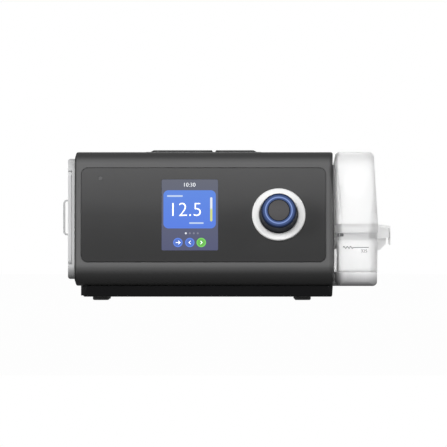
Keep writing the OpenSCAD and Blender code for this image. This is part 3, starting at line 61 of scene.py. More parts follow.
Colour = tuple[float, float, float]
Place = tuple[float, float, float]
Point = tuple[float, float]
Values = dict[str | int, object]
MM = 0.001
PANEL_TILT = math.radians(12.0)  # the front panel leans back by this much
TURN_SOFT = 0.8 * MM  # how far the painted shade at a piece's left end takes to fade in
LETTER_SHARE = 0.69  # how much of a text's size its numbers are high
MITRE_LIMIT = 0.4  # the least share of a line's direction that a mitred corner keeps
BLACK: Colour = (0.0, 0.0, 0.0)
WHITE: Colour = (1.0, 1.0, 1.0)
SQUARE = ((-1.0, -1.0), (1.0, -1.0), (1.0, 1.0), (-1.0, 1.0))  # a square's corners, anticlockwise


def mm(*sizes: float) -> tuple[float, ...]:
    """Turn millimetres into metres."""
    return tuple(size * MM for size in sizes)


def scaled(colour: Colour, level: float) -> Colour:
    """Make a colour darker or brighter."""
    return tuple(c * level for c in colour)


def operation(kind: str) -> Callable[..., "Socket"]:
    """Make a method that puts its socket, and any values after it, through a Math node of this kind."""
    return lambda self, *others: self.apply(kind, self, *others)


class Socket:
    """A shader socket that takes part in sums, each of which adds its Math node."""

    __add__ = __radd__ = operation("ADD")
    __sub__ = operation("SUBTRACT")
    __mul__ = __rmul__ = operation("MULTIPLY")
    __truediv__ = operation("DIVIDE")
    __abs__ = operation("ABSOLUTE")
    sine = operation("SINE")
    root = operation("SQRT")
    pingpong = operation("PINGPONG")
    least = operation("MINIMUM")
    most = operation("MAXIMUM")

    def __init__(self, bench: "Graph", output: NodeSocket) -> None:
        """Wrap a node's output in the tree that further nodes go in."""
        self.bench = bench
        self.output = output

    def apply(self, kind: str, *values: "Number", clamp: bool = False) -> "Socket":
        """Put values through a Math node, and hold the result between 0 and 1 where clamp is set."""
        settings = {"operation": kind, "use_clamp": clamp}
        return Socket(self.bench, self.bench.out("ShaderNodeMath", dict(enumerate(values)), settings))

    def __rsub__(self, other: "Number") -> "Socket":
        """Subtract from a number."""
        return self.apply("SUBTRACT", other, self)

    def held(self) -> "Socket":
        """Hold between 0 and 1."""
        return self.apply("ADD", self, 0.0, clamp=True)

    def below(self, edge: float, soft: float) -> "Socket":
        """Mask where the value is below an edge, and fall from 1 to 0 over the soft distance round it."""
        return self.apply("MULTIPLY_ADD", self, -1.0 / soft, edge / soft + 0.5, clamp=True)


Number = Socket | float


class Graph:
    """A node tree put together in the script."""

    def __init__(self, tree: NodeTree) -> None:
        """Take the tree that the nodes go in."""
        self.tree = tree

    @staticmethod
    def _find(sockets: bpy.types.bpy_prop_collection, key: str | int) -> NodeSocket:
        """Find a node's socket by its identifier, its name or its place."""
        found = [socket for socket in sockets if socket.identifier == key]
        return found[0] if found else sockets[key]

    @staticmethod
    def _set_stops(ramp: bpy.types.ColorRampElements, stops: Sequence[tuple[float, Colour]]) -> None:
        """Put stops on a new colour ramp.

        Args:
            ramp: The ramp's elements.
            stops: Each stop's place and colour, from place 0 up.
        """
        ramp.remove(ramp[1])
        for place, colour in stops:
            stop = ramp.new(place) if place else ramp[0]
            stop.color = (*colour, 1.0)

    def node(self, kind: str, values: Values | None = None, settings: Values | None = None) -> Node:
        """Add a node.

        Args:
            kind: The node's type.
            values: The values or links of its sockets, a colour as its red, green and blue.
            settings: Its properties and a ramp's stops, which are set first.

        Returns:
            The node.
        """
        made = self.tree.nodes.new(kind)
        for name, value in (settings or {}).items():
            if name == "stops":
                self._set_stops(made.color_ramp.elements, value)
            else:
                setattr(made, name, value)
        for key, value in (values or {}).items():
            socket = self._find(made.inputs, key)
            if isinstance(value, (Socket, NodeSocket)):
                self.tree.links.new(getattr(value, "output", value), socket)
            else:
                socket.default_value = (*value, 1.0) if socket.type == "RGBA" else value
        return made

    def out(self, kind: str, values: Values | None = None, settings: Values | None = None) -> NodeSocket:
        """Add a node, as node() does, and give its first output."""
        return self.node(kind, values, settings).outputs[0]


class Bench(Graph):
    """The bench for one material's nodes."""

    def __init__(self, name: str, world: World | None = None) -> None:
        """Start an empty material.

        Args:
            name: The material's name.
            world: The world whose nodes these are, in place of a material.
        """
        self.material = world or bpy.data.materials.new(name)
        self.material.use_nodes = True
        super().__init__(self.material.node_tree)
        self.tree.nodes.clear()

    def place(self) -> NodeSocket:
        """Give the place on the piece, in metres."""
        return self.node("ShaderNodeTexCoord").outputs["Object"]

    def mapped(self, scale: Iterable[float]) -> NodeSocket:
        """Give the place on the piece, scaled along X, Y and Z."""
        return self.out("ShaderNodeMapping", {"Vector": self.place(), "Scale": tuple(scale)})

    def axes(self) -> tuple[Socket, ...]:
        """Give the X, Y and Z of the place on the piece."""
        split = self.node("ShaderNodeSeparateXYZ", {0: self.place()})
        return tuple(Socket(self, output) for output in split.outputs)

    def sees_white(self) -> Socket:
        """Mask the rays that see the white studio.

        Returns:
            The mask, 1 for the rays of the camera, of reflections and through glass.
        """
        path = self.node("ShaderNodeLightPath").outputs
        straight = Socket(self, path["Is Camera Ray"]).most(Socket(self, path["Is Glossy Ray"]))
        return straight.most(Socket(self, path["Is Transmission Ray"]))

    def noise(self, pitch: float, detail: float = 2.0, stretch: Sequence[float] = (1.0, 1.0, 1.0)) -> Socket:
        """Add noise in real size.

        Args:
            pitch: The distance from one lump to the next, in metres.
            detail: How many finer layers it has.
            stretch: How much longer the lumps are along X, Y and Z.

        Returns:
            The noise, from 0 to 1.
        """
        mapped = self.mapped(1.0 / (pitch * longer) for longer in stretch)
        values = {"Vector": mapped, "Scale": 1.0, "Detail": detail}
        return Socket(self, self.out("ShaderNodeTexNoise", values))

    def by_height(self, levels: Sequence[Point], colour: Colour = WHITE) -> NodeSocket:
        """Give a colour that changes with height.

        Args:
            levels: Each height above the table, in millimetres, with the level there, from the foot up.
            colour: The colour at a level of 1.

        Returns:
            The colour.
        """
        low, high = levels[0][0] * MM, levels[-1][0] * MM
        stops = [((height * MM - low) / (high - low), scaled(colour, level)) for height, level in levels]
        return self.out("ShaderNodeValToRGB", {0: (self.axes()[2] - low) / (high - low)}, {"stops": stops})

    def mix(self, mask: Number, first: object, second: object) -> NodeSocket:
        """Mix two colours or colour sockets: the first where the mask is 0, the second where it is 1."""
        values = {"Factor_Float": mask, "A_Color": first, "B_Color": second}
        return self._find(self.node("ShaderNodeMix", values, {"data_type": "RGBA"}).outputs, "Result_Color")

    def bump(self, height: Socket, depth: float) -> NodeSocket:
        """Give the normal of a relief, whose height of 1 stands for a depth in metres."""
        return self.out("ShaderNodeBump", {"Height": height, "Distance": depth, "Strength": 1.0})

    def shade(self, values: Values) -> Material:
        """Finish the material with one Principled shader, given its values or links."""
        self.node("ShaderNodeOutputMaterial", {"Surface": self.out("ShaderNodeBsdfPrincipled", values)})
        return self.material


class Finish:
    """A finish that makes its material once."""

    def looks(self, bench: Bench) -> Values:
        """Give its shader values."""
        raise NotImplementedError

    def material(self, name: str) -> Material:
        """Give the finish's material, made the first time.

        Args:
            name: The material's name, which no CAD material has.

        Returns:
            The material.
        """
        if name in bpy.data.materials:
            return bpy.data.materials[name]
        bench = Bench(name)
        return bench.shade(self.looks(bench))


@dataclass(frozen=True)
class MouldedPlastic(Finish):
    """Moulded plastic with a spark-eroded texture and a little unevenness.

    Attributes:
        colour: The plastic's colour.
        roughness: How dull it is.
        grain: The distance between the texture's pits, in metres.
        depth: The pits' depth, in metres.
        uneven: How far the shade wanders.
        shine: How strongly it reflects, 0.5 being plain plastic.
    """

    colour: Colour
    roughness: float = 0.45
    grain: float = 0.0005
    depth: float = 0.00002
    uneven: float = 0.06
    shine: float = 0.5

    def tone(self, bench: Bench, cloud: Socket) -> NodeSocket:
        """Give the plastic's colour, which wanders with slow noise from 0 to 1."""
        dark, light = (scaled(self.colour, 1.0 + side * self.uneven) for side in (-1.0, 1.0))
        return bench.mix(cloud, dark, light)

    def looks(self, bench: Bench) -> Values:
        """Give its shader values.

        Args:
            bench: The bench that its nodes go on.

        Returns:
            The values, by the shader's sockets.
        """
        cloud = bench.noise(0.035, 3.0)
        pits = bench.noise(self.grain, 1.0)
        return {
            "Base Color": self.tone(bench, cloud),
            "Roughness": self.roughness + (cloud - 0.5) * 0.08 + (pits - 0.5) * 0.06,
            "Specular IOR Level": self.shine,
            "Normal": bench.bump(pits, self.depth),
        }


@dataclass(frozen=True)
class PaintedShadePlastic(MouldedPlastic):
    """Moulded plastic with painted shade that changes with height.

    Attributes:
        levels: Each height above the table, in millimetres, with the colour's level there, which paints the
            shade.
        turn: The X at which its left end turns away, and how much darker its painted shade makes it there.
    """

    levels: tuple[Point, ...] = ()
    turn: Point = (-1.0, 0.0)

    def tone(self, bench: Bench, cloud: Socket) -> NodeSocket:
        """Give the colour at a height, with its painted shade and its unevenness."""
        # painted shade: the colour darkens by height as the levels give
        graded = bench.mix(cloud * self.uneven, bench.by_height(self.levels, self.colour), BLACK)
        # painted shade: darker left of the turn's X
        return bench.mix(bench.axes()[0].below(self.turn[0], TURN_SOFT) * self.turn[1], graded, BLACK)


@dataclass(frozen=True)
class ClearPlastic(Finish):
    """Clear moulded plastic, with painted shade by height: darker at its foot and top, and in bands at its
    thick rims.

    Attributes:
        tints: Each height above the table, in millimetres, with how much light it lets through there, which
            paints the shade.
        roughness: How frosted it is.
        haze: How much of the light it scatters.
        ripple: The depth of the flow marks that moulding leaves, in metres.
    """

    tints: tuple[Point, ...]
    roughness: float = 0.28
    haze: float = 0.13
    ripple: float = 0.00001

    def looks(self, bench: Bench) -> Values:
        """Give its shader values.

        Args:
            bench: The bench that its nodes go on.

        Returns:
            The values, by the shader's sockets.
        """
        flow = bench.noise(0.018, 2.0, (1.0, 1.0, 2.5))
        return {
            # painted shade: the colour darkens by height as the tints give
            "Base Color": bench.mix(flow * 0.02, bench.by_height(self.tints), (0.6, 0.62, 0.63)),
            "Roughness": self.roughness + flow * 0.02,
            "Transmission Weight": 1.0 - self.haze,
            "IOR": 1.1,
            "Normal": bench.bump(flow, self.ripple),
        }


@dataclass(frozen=True)
class Metal(Finish):
    """Metal with the lines that drawing, turning or milling leaves.

    Attributes:
        colour: Its colour.
        roughness: How dull it is.
        line: The distance between its lines, in metres.
        stretch: How much longer the lines are along X, Y and Z.
        levels: The colour's levels by height, a painted shade as for graded plastic, where it changes.
    """

    colour: Colour
    roughness: float = 0.3
    line: float = 0.0002
    stretch: Place = (40.0, 40.0, 1.0)
    levels: tuple[Point, ...] = ()

    def looks(self, bench: Bench) -> Values:
        """Give its shader values.

        Args:
            bench: The bench that its nodes go on.

        Returns:
            The values, by the shader's sockets.
        """
        lines = bench.noise(self.line, 2.0, self.stretch)
        stain = bench.noise(0.012, 3.0)
        if self.levels:
            # painted shade: the colour darkens by height as the levels give
            colour = bench.mix(stain * 0.1, bench.by_height(self.levels, self.colour), BLACK)
        else:
            colour = bench.mix(stain, scaled(self.colour, 0.9), self.colour)
        return {
            "Base Color": colour,
            "Roughness": self.roughness + (lines - 0.5) * 0.16 + (stain - 0.5) * 0.08,
            "Metallic": 1.0,
            "Normal": bench.bump(lines, 0.000008),
        }


@dataclass(frozen=True)
class Elastomer(Finish):
    """Rubber or silicone, with the bloom that gathers on it.

    Attributes:
        colour: Its colour.
        roughness: How dull it is.
        clear: How much light it lets through.
    """

    colour: Colour
    roughness: float
    clear: float = 0.0

    def looks(self, bench: Bench) -> Values:
        """Give its shader values.

        Args:
            bench: The bench that its nodes go on.

        Returns:
            The values, by the shader's sockets.
        """
        bloom = bench.noise(0.004, 4.0)
        bloomed = tuple(min(1.0, c * 1.25 + 0.01) for c in self.colour)
        return {
            "Base Color": bench.mix(bloom, self.colour, bloomed),
            "Roughness": self.roughness + (bloom - 0.5) * 0.15,
            "Transmission Weight": self.clear,
            "Normal": bench.bump(bench.noise(0.0007, 2.0), 0.00004),
        }


@dataclass(frozen=True)
class Fibre(Finish):
    """Felt or open-cell foam.

    Attributes:
        colour: Its colour.
        cell: The distance from one strand or cell to the next, in metres.
        depth: Its relief, in metres.
    """

    colour: Colour
    cell: float
    depth: float

    def looks(self, bench: Bench) -> Values:
        """Give its shader values.

        Args:
            bench: The bench that its nodes go on.

        Returns:
            The values, by the shader's sockets.
        """
        values = {"Vector": bench.mapped((1.0 / self.cell,) * 3), "Scale": 1.0}
        cells = bench.out("ShaderNodeTexVoronoi", values, {"feature": "F1"})
        pores = Socket(bench, cells).held()
        strands = bench.noise(self.cell, 5.0, (1.0, 4.0, 1.0))
        return {
            # painted shade: darker where the relief is low, in the grooves between cells and strands
            "Base Color": bench.mix(pores * 0.6 + strands * 0.4, self.colour, scaled(self.colour, 0.55)),
            "Roughness": 0.92,
            "Sheen Weight": 0.25,
            "Normal": bench.bump(1.0 - pores * 0.6 - strands * 0.4, self.depth),
        }


@dataclass(frozen=True)
class CircuitBoard(Finish):
    """Solder mask over copper tracks.

    Attributes:
        mask: The colour of the bare board.
        track: The colour over copper.
        pitch: The distance between tracks, in metres.
    """

    mask: Colour = (0.012, 0.075, 0.03)
    track: Colour = (0.03, 0.16, 0.06)
    pitch: float = 0.0016

    def looks(self, bench: Bench) -> Values:
        """Give its shader values.

        Args:
            bench: The bench that its nodes go on.

        Returns:
            The values, by the shader's sockets.
        """
        across, depth, up = bench.axes()
        wander = (bench.noise(0.02, 0.0) - 0.5) * (12.0 * self.pitch)
        lines = abs(((across + depth + wander) * (math.pi / self.pitch)).sine()).below(0.5, 0.2)
        areas = bench.noise(0.012, 0.0).below(0.5, 0.02)
        copper = lines * areas
        return {
            "Base Color": bench.mix(copper, self.mask, self.track),
            "Roughness": 0.32 - copper * 0.1,
            "Normal": bench.bump(copper, 0.00003),
        }


def on_panel(bench: Bench, middle: Sequence[float]) -> tuple[Socket, Socket]:
    """Measure along the front panel and up it, from a middle."""
    x, y, z = bench.axes()
    return x - middle[0], (y - middle[1]) * math.sin(PANEL_TILT) + (z - middle[2]) * math.cos(PANEL_TILT)


@dataclass(frozen=True)
class LitPlastic(Finish):
    """Milky plastic with lamps behind it.

    Attributes:
        colour: The colour that it gives off.
        spots: How much brighter it is where its lamps stand, from 0 to 1.
    """

    colour: Colour
    spots: float = 0.02

    def looks(self, bench: Bench) -> Values:
        """Give its shader values.

        Args:
            bench: The bench that its nodes go on.

        Returns:
            The values, by the shader's sockets.
        """
        cloud = bench.noise(0.006, 1.0)
        glow = bench.mix(cloud, scaled(self.colour, 1.0 - self.spots), self.colour)
        return {
            "Base Color": scaled(self.colour, 0.25),
            "Roughness": 0.3 + cloud * 0.1,
            "Emission Color": glow,
            "Emission Strength": 1.0,
        }


@dataclass(frozen=True)
class GlowRing(Finish):
    """Milky ring round the knob's cap, with a narrow band of light.

    Attributes:
        middle: A place on the knob's axis.
        band: The lit band's radius and half its width, in metres.
        soft: How far the light takes to fade.
        lit: The band's colour.
        edge: The ring's colour beside the band.
    """

    middle: Place
    band: Point = mm(11.7, 0.1)
    soft: float = 1.0 * MM
    lit: Colour = (0.26, 0.37, 0.74)
    edge: Colour = (0.045, 0.08, 0.21)

    def looks(self, bench: Bench) -> Values:
        """Give its shader values.

        Args:
            bench: The bench that its nodes go on.

        Returns:
            The values, by the shader's sockets.
        """
        across, up = on_panel(bench, self.middle)
        reach = (across * across + up * up).root()
        band = abs(reach - self.band[0]).below(self.band[1] + self.soft / 2.0, self.soft)
        glow = bench.mix(band * band * (0.9 + bench.noise(0.005, 1.0) * 0.2).held(), self.edge, self.lit)
        return {
            "Base Color": (0.005, 0.007, 0.014),
            "Roughness": 0.4 + bench.noise(0.001) * 0.05,
            "Specular IOR Level": 0.05,
            "Emission Color": glow,
            "Emission Strength": 1.0,
        }


class Glyph(Enum):
    """The signs on the screen's round keys."""

    ARROW = "arrow"
    BACK = "back"
    NEXT = "next"


@dataclass(frozen=True)
class ScreenPicture(Finish):
    """The lit picture under the window's gloss, in metres from the picture's middle.

    Attributes:
        middle: The middle of the window's front face.
        half: Half the lit area's width and height.
        card: The card's middle, half its size and its corners' radius.
        gauge: The upright bar's middle and half its size.
        bars: Each short bar's middle and half its size.
        dots: The page dots' X, with the lit one first.
        dot_up: The page dots' height.
        dot_radius: Their radius.
        keys: Each round key's middle and colour.
        key_radius: Their radius.
        soft: How wide an edge's blur is.
        ground: The background's colours, at its foot and its head.
        card_tones: The card's colours, at the foot and the head.
        gauge_tones: The gauge's colours, empty and filled.
        bar_tone: The short bars' colour.
        dot_tone: The lit dot's colour.
        unlit: How bright the other dots are.
        rim: How much brighter a key's rim is.
    """

    middle: Place
    half: Point = mm(24.9, 32.0)
    card: tuple[Point, Point, float] = (mm(-0.2, 5.0), mm(23.1, 17.2), 4.5 * MM)
    gauge: tuple[Point, Point] = (mm(18.9, 5.0), mm(1.0, 10.9))
    bars: tuple[tuple[Point, Point], ...] = (
        (mm(-13.2, 17.0), mm(7.0, 0.75)), (mm(5.8, -7.4), mm(6.4, 0.7)))
    dots: tuple[float, ...] = mm(-3.5, 0.0, 3.5, 7.0)
    dot_up: float = -16.6 * MM
    dot_radius: float = 0.9 * MM
    keys: tuple[tuple[Point, Colour], ...] = (
        (mm(-10.5, -24.9), (0.09, 0.19, 0.66)), (mm(0.0, -24.9), (0.09, 0.19, 0.66)),
        (mm(10.1, -24.9), (0.16, 0.56, 0.09)))
    key_radius: float = 4.2 * MM
    soft: float = 0.25 * MM
    ground: tuple[Colour, Colour] = ((0.085, 0.095, 0.19), (0.13, 0.14, 0.185))
    card_tones: tuple[Colour, Colour] = ((0.085, 0.2, 0.86), (0.12, 0.28, 0.84))
    gauge_tones: tuple[Colour, Colour] = ((0.9, 0.95, 1.0), (0.75, 0.82, 0.25))
    bar_tone: Colour = (0.62, 0.76, 1.0)
    dot_tone: Colour = (0.9, 0.93, 1.0)
    unlit: float = 0.16
    rim: float = 1.45

    @staticmethod
    def _outside(spot: tuple[Socket, Socket], middle: Point, half: Point, corner: float) -> Socket:
        """Measure how far a place is outside a rounded rectangle.

        Args:
            spot: The place along the panel and up it.
            middle: The rectangle's middle.
            half: Half its width and height.
            corner: Its corners' radius.

        Returns:
            The distance, below 0 inside.
        """
        right, above = (abs(at - mid) - (reach - corner) for at, mid, reach in zip(spot, middle, half))
        far = right.most(0.0) * right.most(0.0) + above.most(0.0) * above.most(0.0)
        return far.root() + right.most(above).least(0.0) - corner

    def _mask(self, spot: tuple[Socket, Socket], middle: Point, half: Point, corner: float) -> Socket:
        """Mask a rounded rectangle, given as in _outside()."""
        return self._outside(spot, middle, half, corner).below(0.0, self.soft)

    def looks(self, bench: Bench) -> Values:
        """Give its shader values.

        Args:
            bench: The bench that its nodes go on.

        Returns:
            The values, by the shader's sockets.
        """
        spot = on_panel(bench, self.middle)
        height = (spot[1] / (2.0 * self.half[1]) + 0.5).held()
        picture = bench.mix(height, *self.ground)
        picture = bench.mix(self._mask(spot, *self.card), picture, bench.mix(height, *self.card_tones))
        for place, size in self.bars:
            picture = bench.mix(self._mask(spot, place, size, size[1]), picture, self.bar_tone)
        place, size = self.gauge
        filled = bench.mix(spot[1].below(place[1] + 0.5 * MM, 2.0 * MM), *self.gauge_tones)
        picture = bench.mix(self._mask(spot, place, size, size[0]), picture, filled)
        for index, across in enumerate(self.dots):
            dot = self._mask(spot, (across, self.dot_up), (self.dot_radius,) * 2, self.dot_radius)
            picture = bench.mix(dot * self.unlit if index else dot, picture, self.dot_tone)
        for place, colour in self.keys:
            reach = self._outside(spot, place, (self.key_radius,) * 2, self.key_radius)
            rim = tuple(min(1.0, c * self.rim) for c in colour)
            face = bench.mix(abs(reach + 0.5 * MM).below(0.35 * MM, self.soft), colour, rim)
            picture = bench.mix(reach.below(0.0, self.soft), picture, face)
        lit = self._mask(spot, (0.0, 0.0), self.half, 0.4 * MM)
        return {
            "Base Color": (0.006, 0.006, 0.008),
            "Roughness": 0.12 + bench.noise(0.02) * 0.03,
            "Specular IOR Level": 0.03,
            "Emission Color": bench.mix(lit, (0.012, 0.012, 0.014), picture),
            "Emission Strength": 0.88,
        }


class GeometryTree(Graph):
    """A Geometry Nodes tree, with a named input for each size and for the material."""

    def __init__(self, name: str, slot: str, sizes: dict[str, float | int]) -> None:
        """Start an empty tree.

        Args:
            name: The tree's name, and that of the piece that it makes.
            slot: The piece's material slot.
            sizes: Its sizes, in metres, and its counts.
        """
        super().__init__(bpy.data.node_groups.new(name, "GeometryNodeTree"))
        self.slot = slot
        face = self.tree.interface
        face.new_socket("Geometry", in_out="OUTPUT", socket_type="NodeSocketGeometry")
        self.values: dict[str, object] = {}
        for label, value in {**sizes, "Material": slot_material(slot)}.items():
            kind = {int: "NodeSocketInt", float: "NodeSocketFloat"}.get(type(value), "NodeSocketMaterial")
            made = face.new_socket(label, in_out="INPUT", socket_type=kind)
            self.values[made.identifier] = value
        self.given = self.node("NodeGroupInput").outputs
        self.sizes = [Socket(self, self.given[label]) for label in sizes]

    def vector(self, x: Number = 0.0, y: Number = 0.0, z: Number = 0.0) -> NodeSocket:
        """Put a vector together."""
        return self.out("ShaderNodeCombineXYZ", {0: x, 1: y, 2: z})

    def grid(self, width: Number, height: Number, columns: Number = 2) -> NodeSocket:
        """Lay a grid with two rows of points."""
        return self.out("GeometryNodeMeshGrid", {
            "Size X": width, "Size Y": height, "Vertices X": columns, "Vertices Y": 2})

    def block(self, x: Number, y: Number, z: Number) -> NodeSocket:
        """Make a block round the origin."""
        return self.out("GeometryNodeMeshCube", {"Size": self.vector(x, y, z)})

    def moved(self, shape: NodeSocket, place: NodeSocket) -> NodeSocket:
        """Move a shape."""
        return self.out("GeometryNodeTransform", {"Geometry": shape, "Translation": place})

    def joined(self, *shapes: NodeSocket) -> NodeSocket:
        """Join shapes into one.

        Args:
            shapes: The shapes' sockets.

        Returns:
            The joined shape.
        """
        join = self.node("GeometryNodeJoinGeometry")
        for shape in shapes:
            self.tree.links.new(shape, join.inputs[0])
        return join.outputs[0]

    def piece(self, shape: NodeSocket, place: Matrix) -> Object:
        """Turn a shape into a finished piece on the main body, with its faces outward.

        Args:
            shape: The shape's socket.
            place: Its move into the row frame.

        Returns:
            The piece.
        """
        real = self.out("GeometryNodeRealizeInstances", {"Geometry": shape})
        painted = self.out("GeometryNodeSetMaterial", {"Geometry": real, "Material": self.given["Material"]})
        self.node("NodeGroupOutput", {"Geometry": painted})
        holder = linked(self.tree.name, bpy.data.meshes.new(self.tree.name))
        modifier = holder.modifiers.new("shape", "NODES")
        modifier.node_group = self.tree
        for identifier, value in self.values.items():
            modifier[identifier] = value
        made = finished_mesh(holder)
        shell = bmesh.new()
        shell.from_mesh(made)
        outward(shell, made)
        return add_piece(self.tree.name, made, place, "main", slot_material(self.slot))


def linked(name: str, data: bpy.types.ID) -> Object:
    """Make an object and put it in the scene.

    Args:
        name: The object's name.
        data: Its mesh, letters, lamp or camera.

    Returns:
        The object.
    """
    made = bpy.data.objects.new(name, data)
    bpy.context.scene.collection.objects.link(made)
    return made


def finished_mesh(holder: Object) -> Mesh:
    """Take the mesh that an object's modifiers or letters make.

    Args:
        holder: The object, which is removed.

    Returns:
        The mesh.
    """
    mesh = bpy.data.meshes.new_from_object(holder.evaluated_get(bpy.context.evaluated_depsgraph_get()))
    bpy.data.objects.remove(holder)
    return mesh


def outward(shape: bmesh.types.BMesh, mesh: Mesh) -> Mesh:
    """Put a shape in a mesh, with its faces outward.

    Args:
        shape: The shape, which is freed.
        mesh: The mesh.

    Returns:
        The mesh.
    """
    bmesh.ops.recalc_face_normals(shape, faces=shape.faces)
    shape.to_mesh(mesh)
    shape.free()
    return mesh


def add_piece(name: str, mesh: Mesh, place: Matrix, body: str, material: Material) -> Object:
    """Add a finished piece at the origin.

    Args:
        name: The piece's name.
        mesh: Its mesh.
        place: The mesh's move into the row frame.
        body: The CAD body that it rides on.
        material: Its material.

    Returns:
        The piece.
    """
    mesh.name = name
    mesh.transform(place)
    mesh.update()
    mesh.materials.clear()
    mesh.materials.append(material)
    piece = linked(name, mesh)
    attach(piece, body)
    LOG.info("piece %s on %s: %d faces", name, body, len(mesh.polygons))
    return piece


def plate_mesh(outline: Sequence[Point], thick: float) -> Mesh:
    """Make a thin closed plate.

    Args:
        outline: Its corners, anticlockwise.
        thick: Its thickness, upwards from 0.

    Returns:
        The mesh.
    """
    shape = bmesh.new()
    face = shape.faces.new([shape.verts.new((u, v, 0.0)) for u, v in outline])
    moved = bmesh.ops.extrude_face_region(shape, geom=[face])["geom"]
    corners = [part for part in moved if isinstance(part, bmesh.types.BMVert)]
    bmesh.ops.translate(shape, vec=(0.0, 0.0, thick), verts=corners)
    return outward(shape, bpy.data.meshes.new("plate"))


def text_mesh(words: str, height: float, thick: float, thinner: float = 0.02) -> Mesh:
    """Make numbers from plain letters, centred on the origin.

    Args:
        words: What they say.
        height: The letters' height.
        thick: Their thickness, upwards from 0.
        thinner: How far each edge of a stroke draws in, as a share of the height.

    Returns:
        The mesh.
    """
    curve = bpy.data.curves.new("words", "FONT")
    curve.body = words
    curve.size = height / LETTER_SHARE
    curve.offset = -thinner * height
    curve.extrude = thick / 2.0
    curve.resolution_u = 6
    holder = linked("words", curve)
    bpy.context.view_layer.update()
    mesh = finished_mesh(holder)
    bpy.data.curves.remove(curve)
    across, up = ([corner.co[axis] for corner in mesh.vertices] for axis in (0, 1))
    middle = ((min(across) + max(across)) / 2.0, (min(up) + max(up)) / 2.0, -thick / 2.0)
    mesh.transform(Matrix.Translation([-c for c in middle]))
    return mesh


def stroke(points: Sequence[Point], width: float) -> list[Point]:
    """Give the outline of a line with mitred corners.

    Args:
        points: The line's points.
        width: Its width.

    Returns:
        The outline, anticlockwise.
    """
    sides: list[list[Point]] = [[], []]
    for index, point in enumerate(points):
        before = Vector(points[max(index - 1, 0)])
        after = Vector(points[min(index + 1, len(points) - 1)])
        here = Vector(point)
        first = (here - before).normalized() if index else (after - here).normalized()
        second = (after - here).normalized() if index < len(points) - 1 else first
        along = (first + second).normalized()
        reach = width / 2.0 / max(along.dot(first), MITRE_LIMIT)
        out = Vector((along.y, -along.x)) * reach
        sides[0].append(tuple(here + out))
        sides[1].append(tuple(here - out))
    return sides[0] + sides[1][::-1]


@dataclass
class FrontPanel:
    """The screen's picture, its numbers and the signs on its keys.

    Attributes:
        lift: How far the signs stand on the window, in metres.
        sign_thick: The signs' thickness.
        sign: Their lines' width, how far a head reaches up, and the arrow's half length and shaft's end.
        texts: Each number's name, what it says, its height and its middle.
        picture: The picture that the window shows.
        face: The middle of the window's front face.
    """

    lift: float = 0.01 * MM
    sign_thick: float = 0.05 * MM
    sign: tuple[float, ...] = mm(0.62, 1.5, 1.9, 1.4)
    texts: tuple[tuple[str, str, float, Point], ...] = (
        ("number", "12.5", 12.2 * MM, mm(-2.9, 4.9)), ("clock", "10:30", 3.5 * MM, mm(0.0, 27.2)))
    picture: ScreenPicture = field(init=False)
    face: Vector = field(init=False)

    def __post_init__(self) -> None:
        """Find the window's front face."""
        low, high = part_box("display_window")
        out = self.turn() @ Vector((0.0, 0.0, 1.0))
        level = high.y - low.y - (high.z - low.z) * math.tan(PANEL_TILT)
        depth = level * math.cos(PANEL_TILT) / math.cos(2.0 * PANEL_TILT)
        self.face = (low + high) / 2.0 + out * abs(depth) / 2.0
        self.picture = ScreenPicture(tuple(self.face))

    @staticmethod
    def turn() -> Matrix:
        """Give the turn from a flat drawing to the front panel."""
        return Matrix.Rotation(math.pi / 2.0 - PANEL_TILT, 4, "X")

    def on_face(self, place: Point) -> Matrix:
        """Give the move from the origin to a place on the window, from the picture's middle."""
        return Matrix.Translation(self.face) @ self.turn() @ Matrix.Translation((*place, self.lift))

    def glyph(self, kind: Glyph) -> list[Mesh]:
        """Draw a key's sign.

        Args:
            kind: Which sign.

        Returns:
            Its plates, round the origin.
        """
        width, reach, tail, shaft = self.sign
        side = -1.0 if kind is Glyph.BACK else 1.0
        tip = tail if kind is Glyph.ARROW else reach / 2.0
        end = (tip - reach) * side
        strokes = [stroke([(end, reach), (tip * side, 0.0), (end, -reach)], width)]
        if kind is Glyph.ARROW:
            strokes.append(stroke([(-tail, 0.0), (shaft, 0.0)], width))
        return [plate_mesh(outline, self.sign_thick) for outline in strokes]

    def build(self) -> None:
        """Dress the window and add what it shows."""
        dress("display_window", self.picture)
        ring = tuple(sum(pair) / 2.0 for pair in zip(*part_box("knob_light_ring")))
        dress("knob_light_ring", GlowRing(ring))
        # painted light: the ring's blue glow spilling onto the knob body's skirt, given as emission
        dress("knob_body", GlowRing(ring, mm(13.4, 0.2), 2.6 * MM, (0.035, 0.06, 0.16), BLACK))
        glow = LitPlastic((0.93, 0.96, 1.0)).material("screen_sign")
        signs = {}
        for name, words, height, place in self.texts:
            signs["screen_" + name] = (text_mesh(words, height, self.sign_thick), place)
        for kind, (place, _) in zip(Glyph, self.picture.keys):
            for index, mesh in enumerate(self.glyph(kind)):
                signs[f"screen_key_{kind.value}_{index}"] = (mesh, place)
        for name, (mesh, place) in signs.items():
            add_piece(name, mesh, self.on_face(place), "main", glow)


def standing(y: float) -> Matrix:
    """Give the move that stands a flat drawing up, facing the front."""
    return Matrix.Translation((0.0, y, 0.0)) @ Matrix.Rotation(math.pi / 2.0, 4, "X")


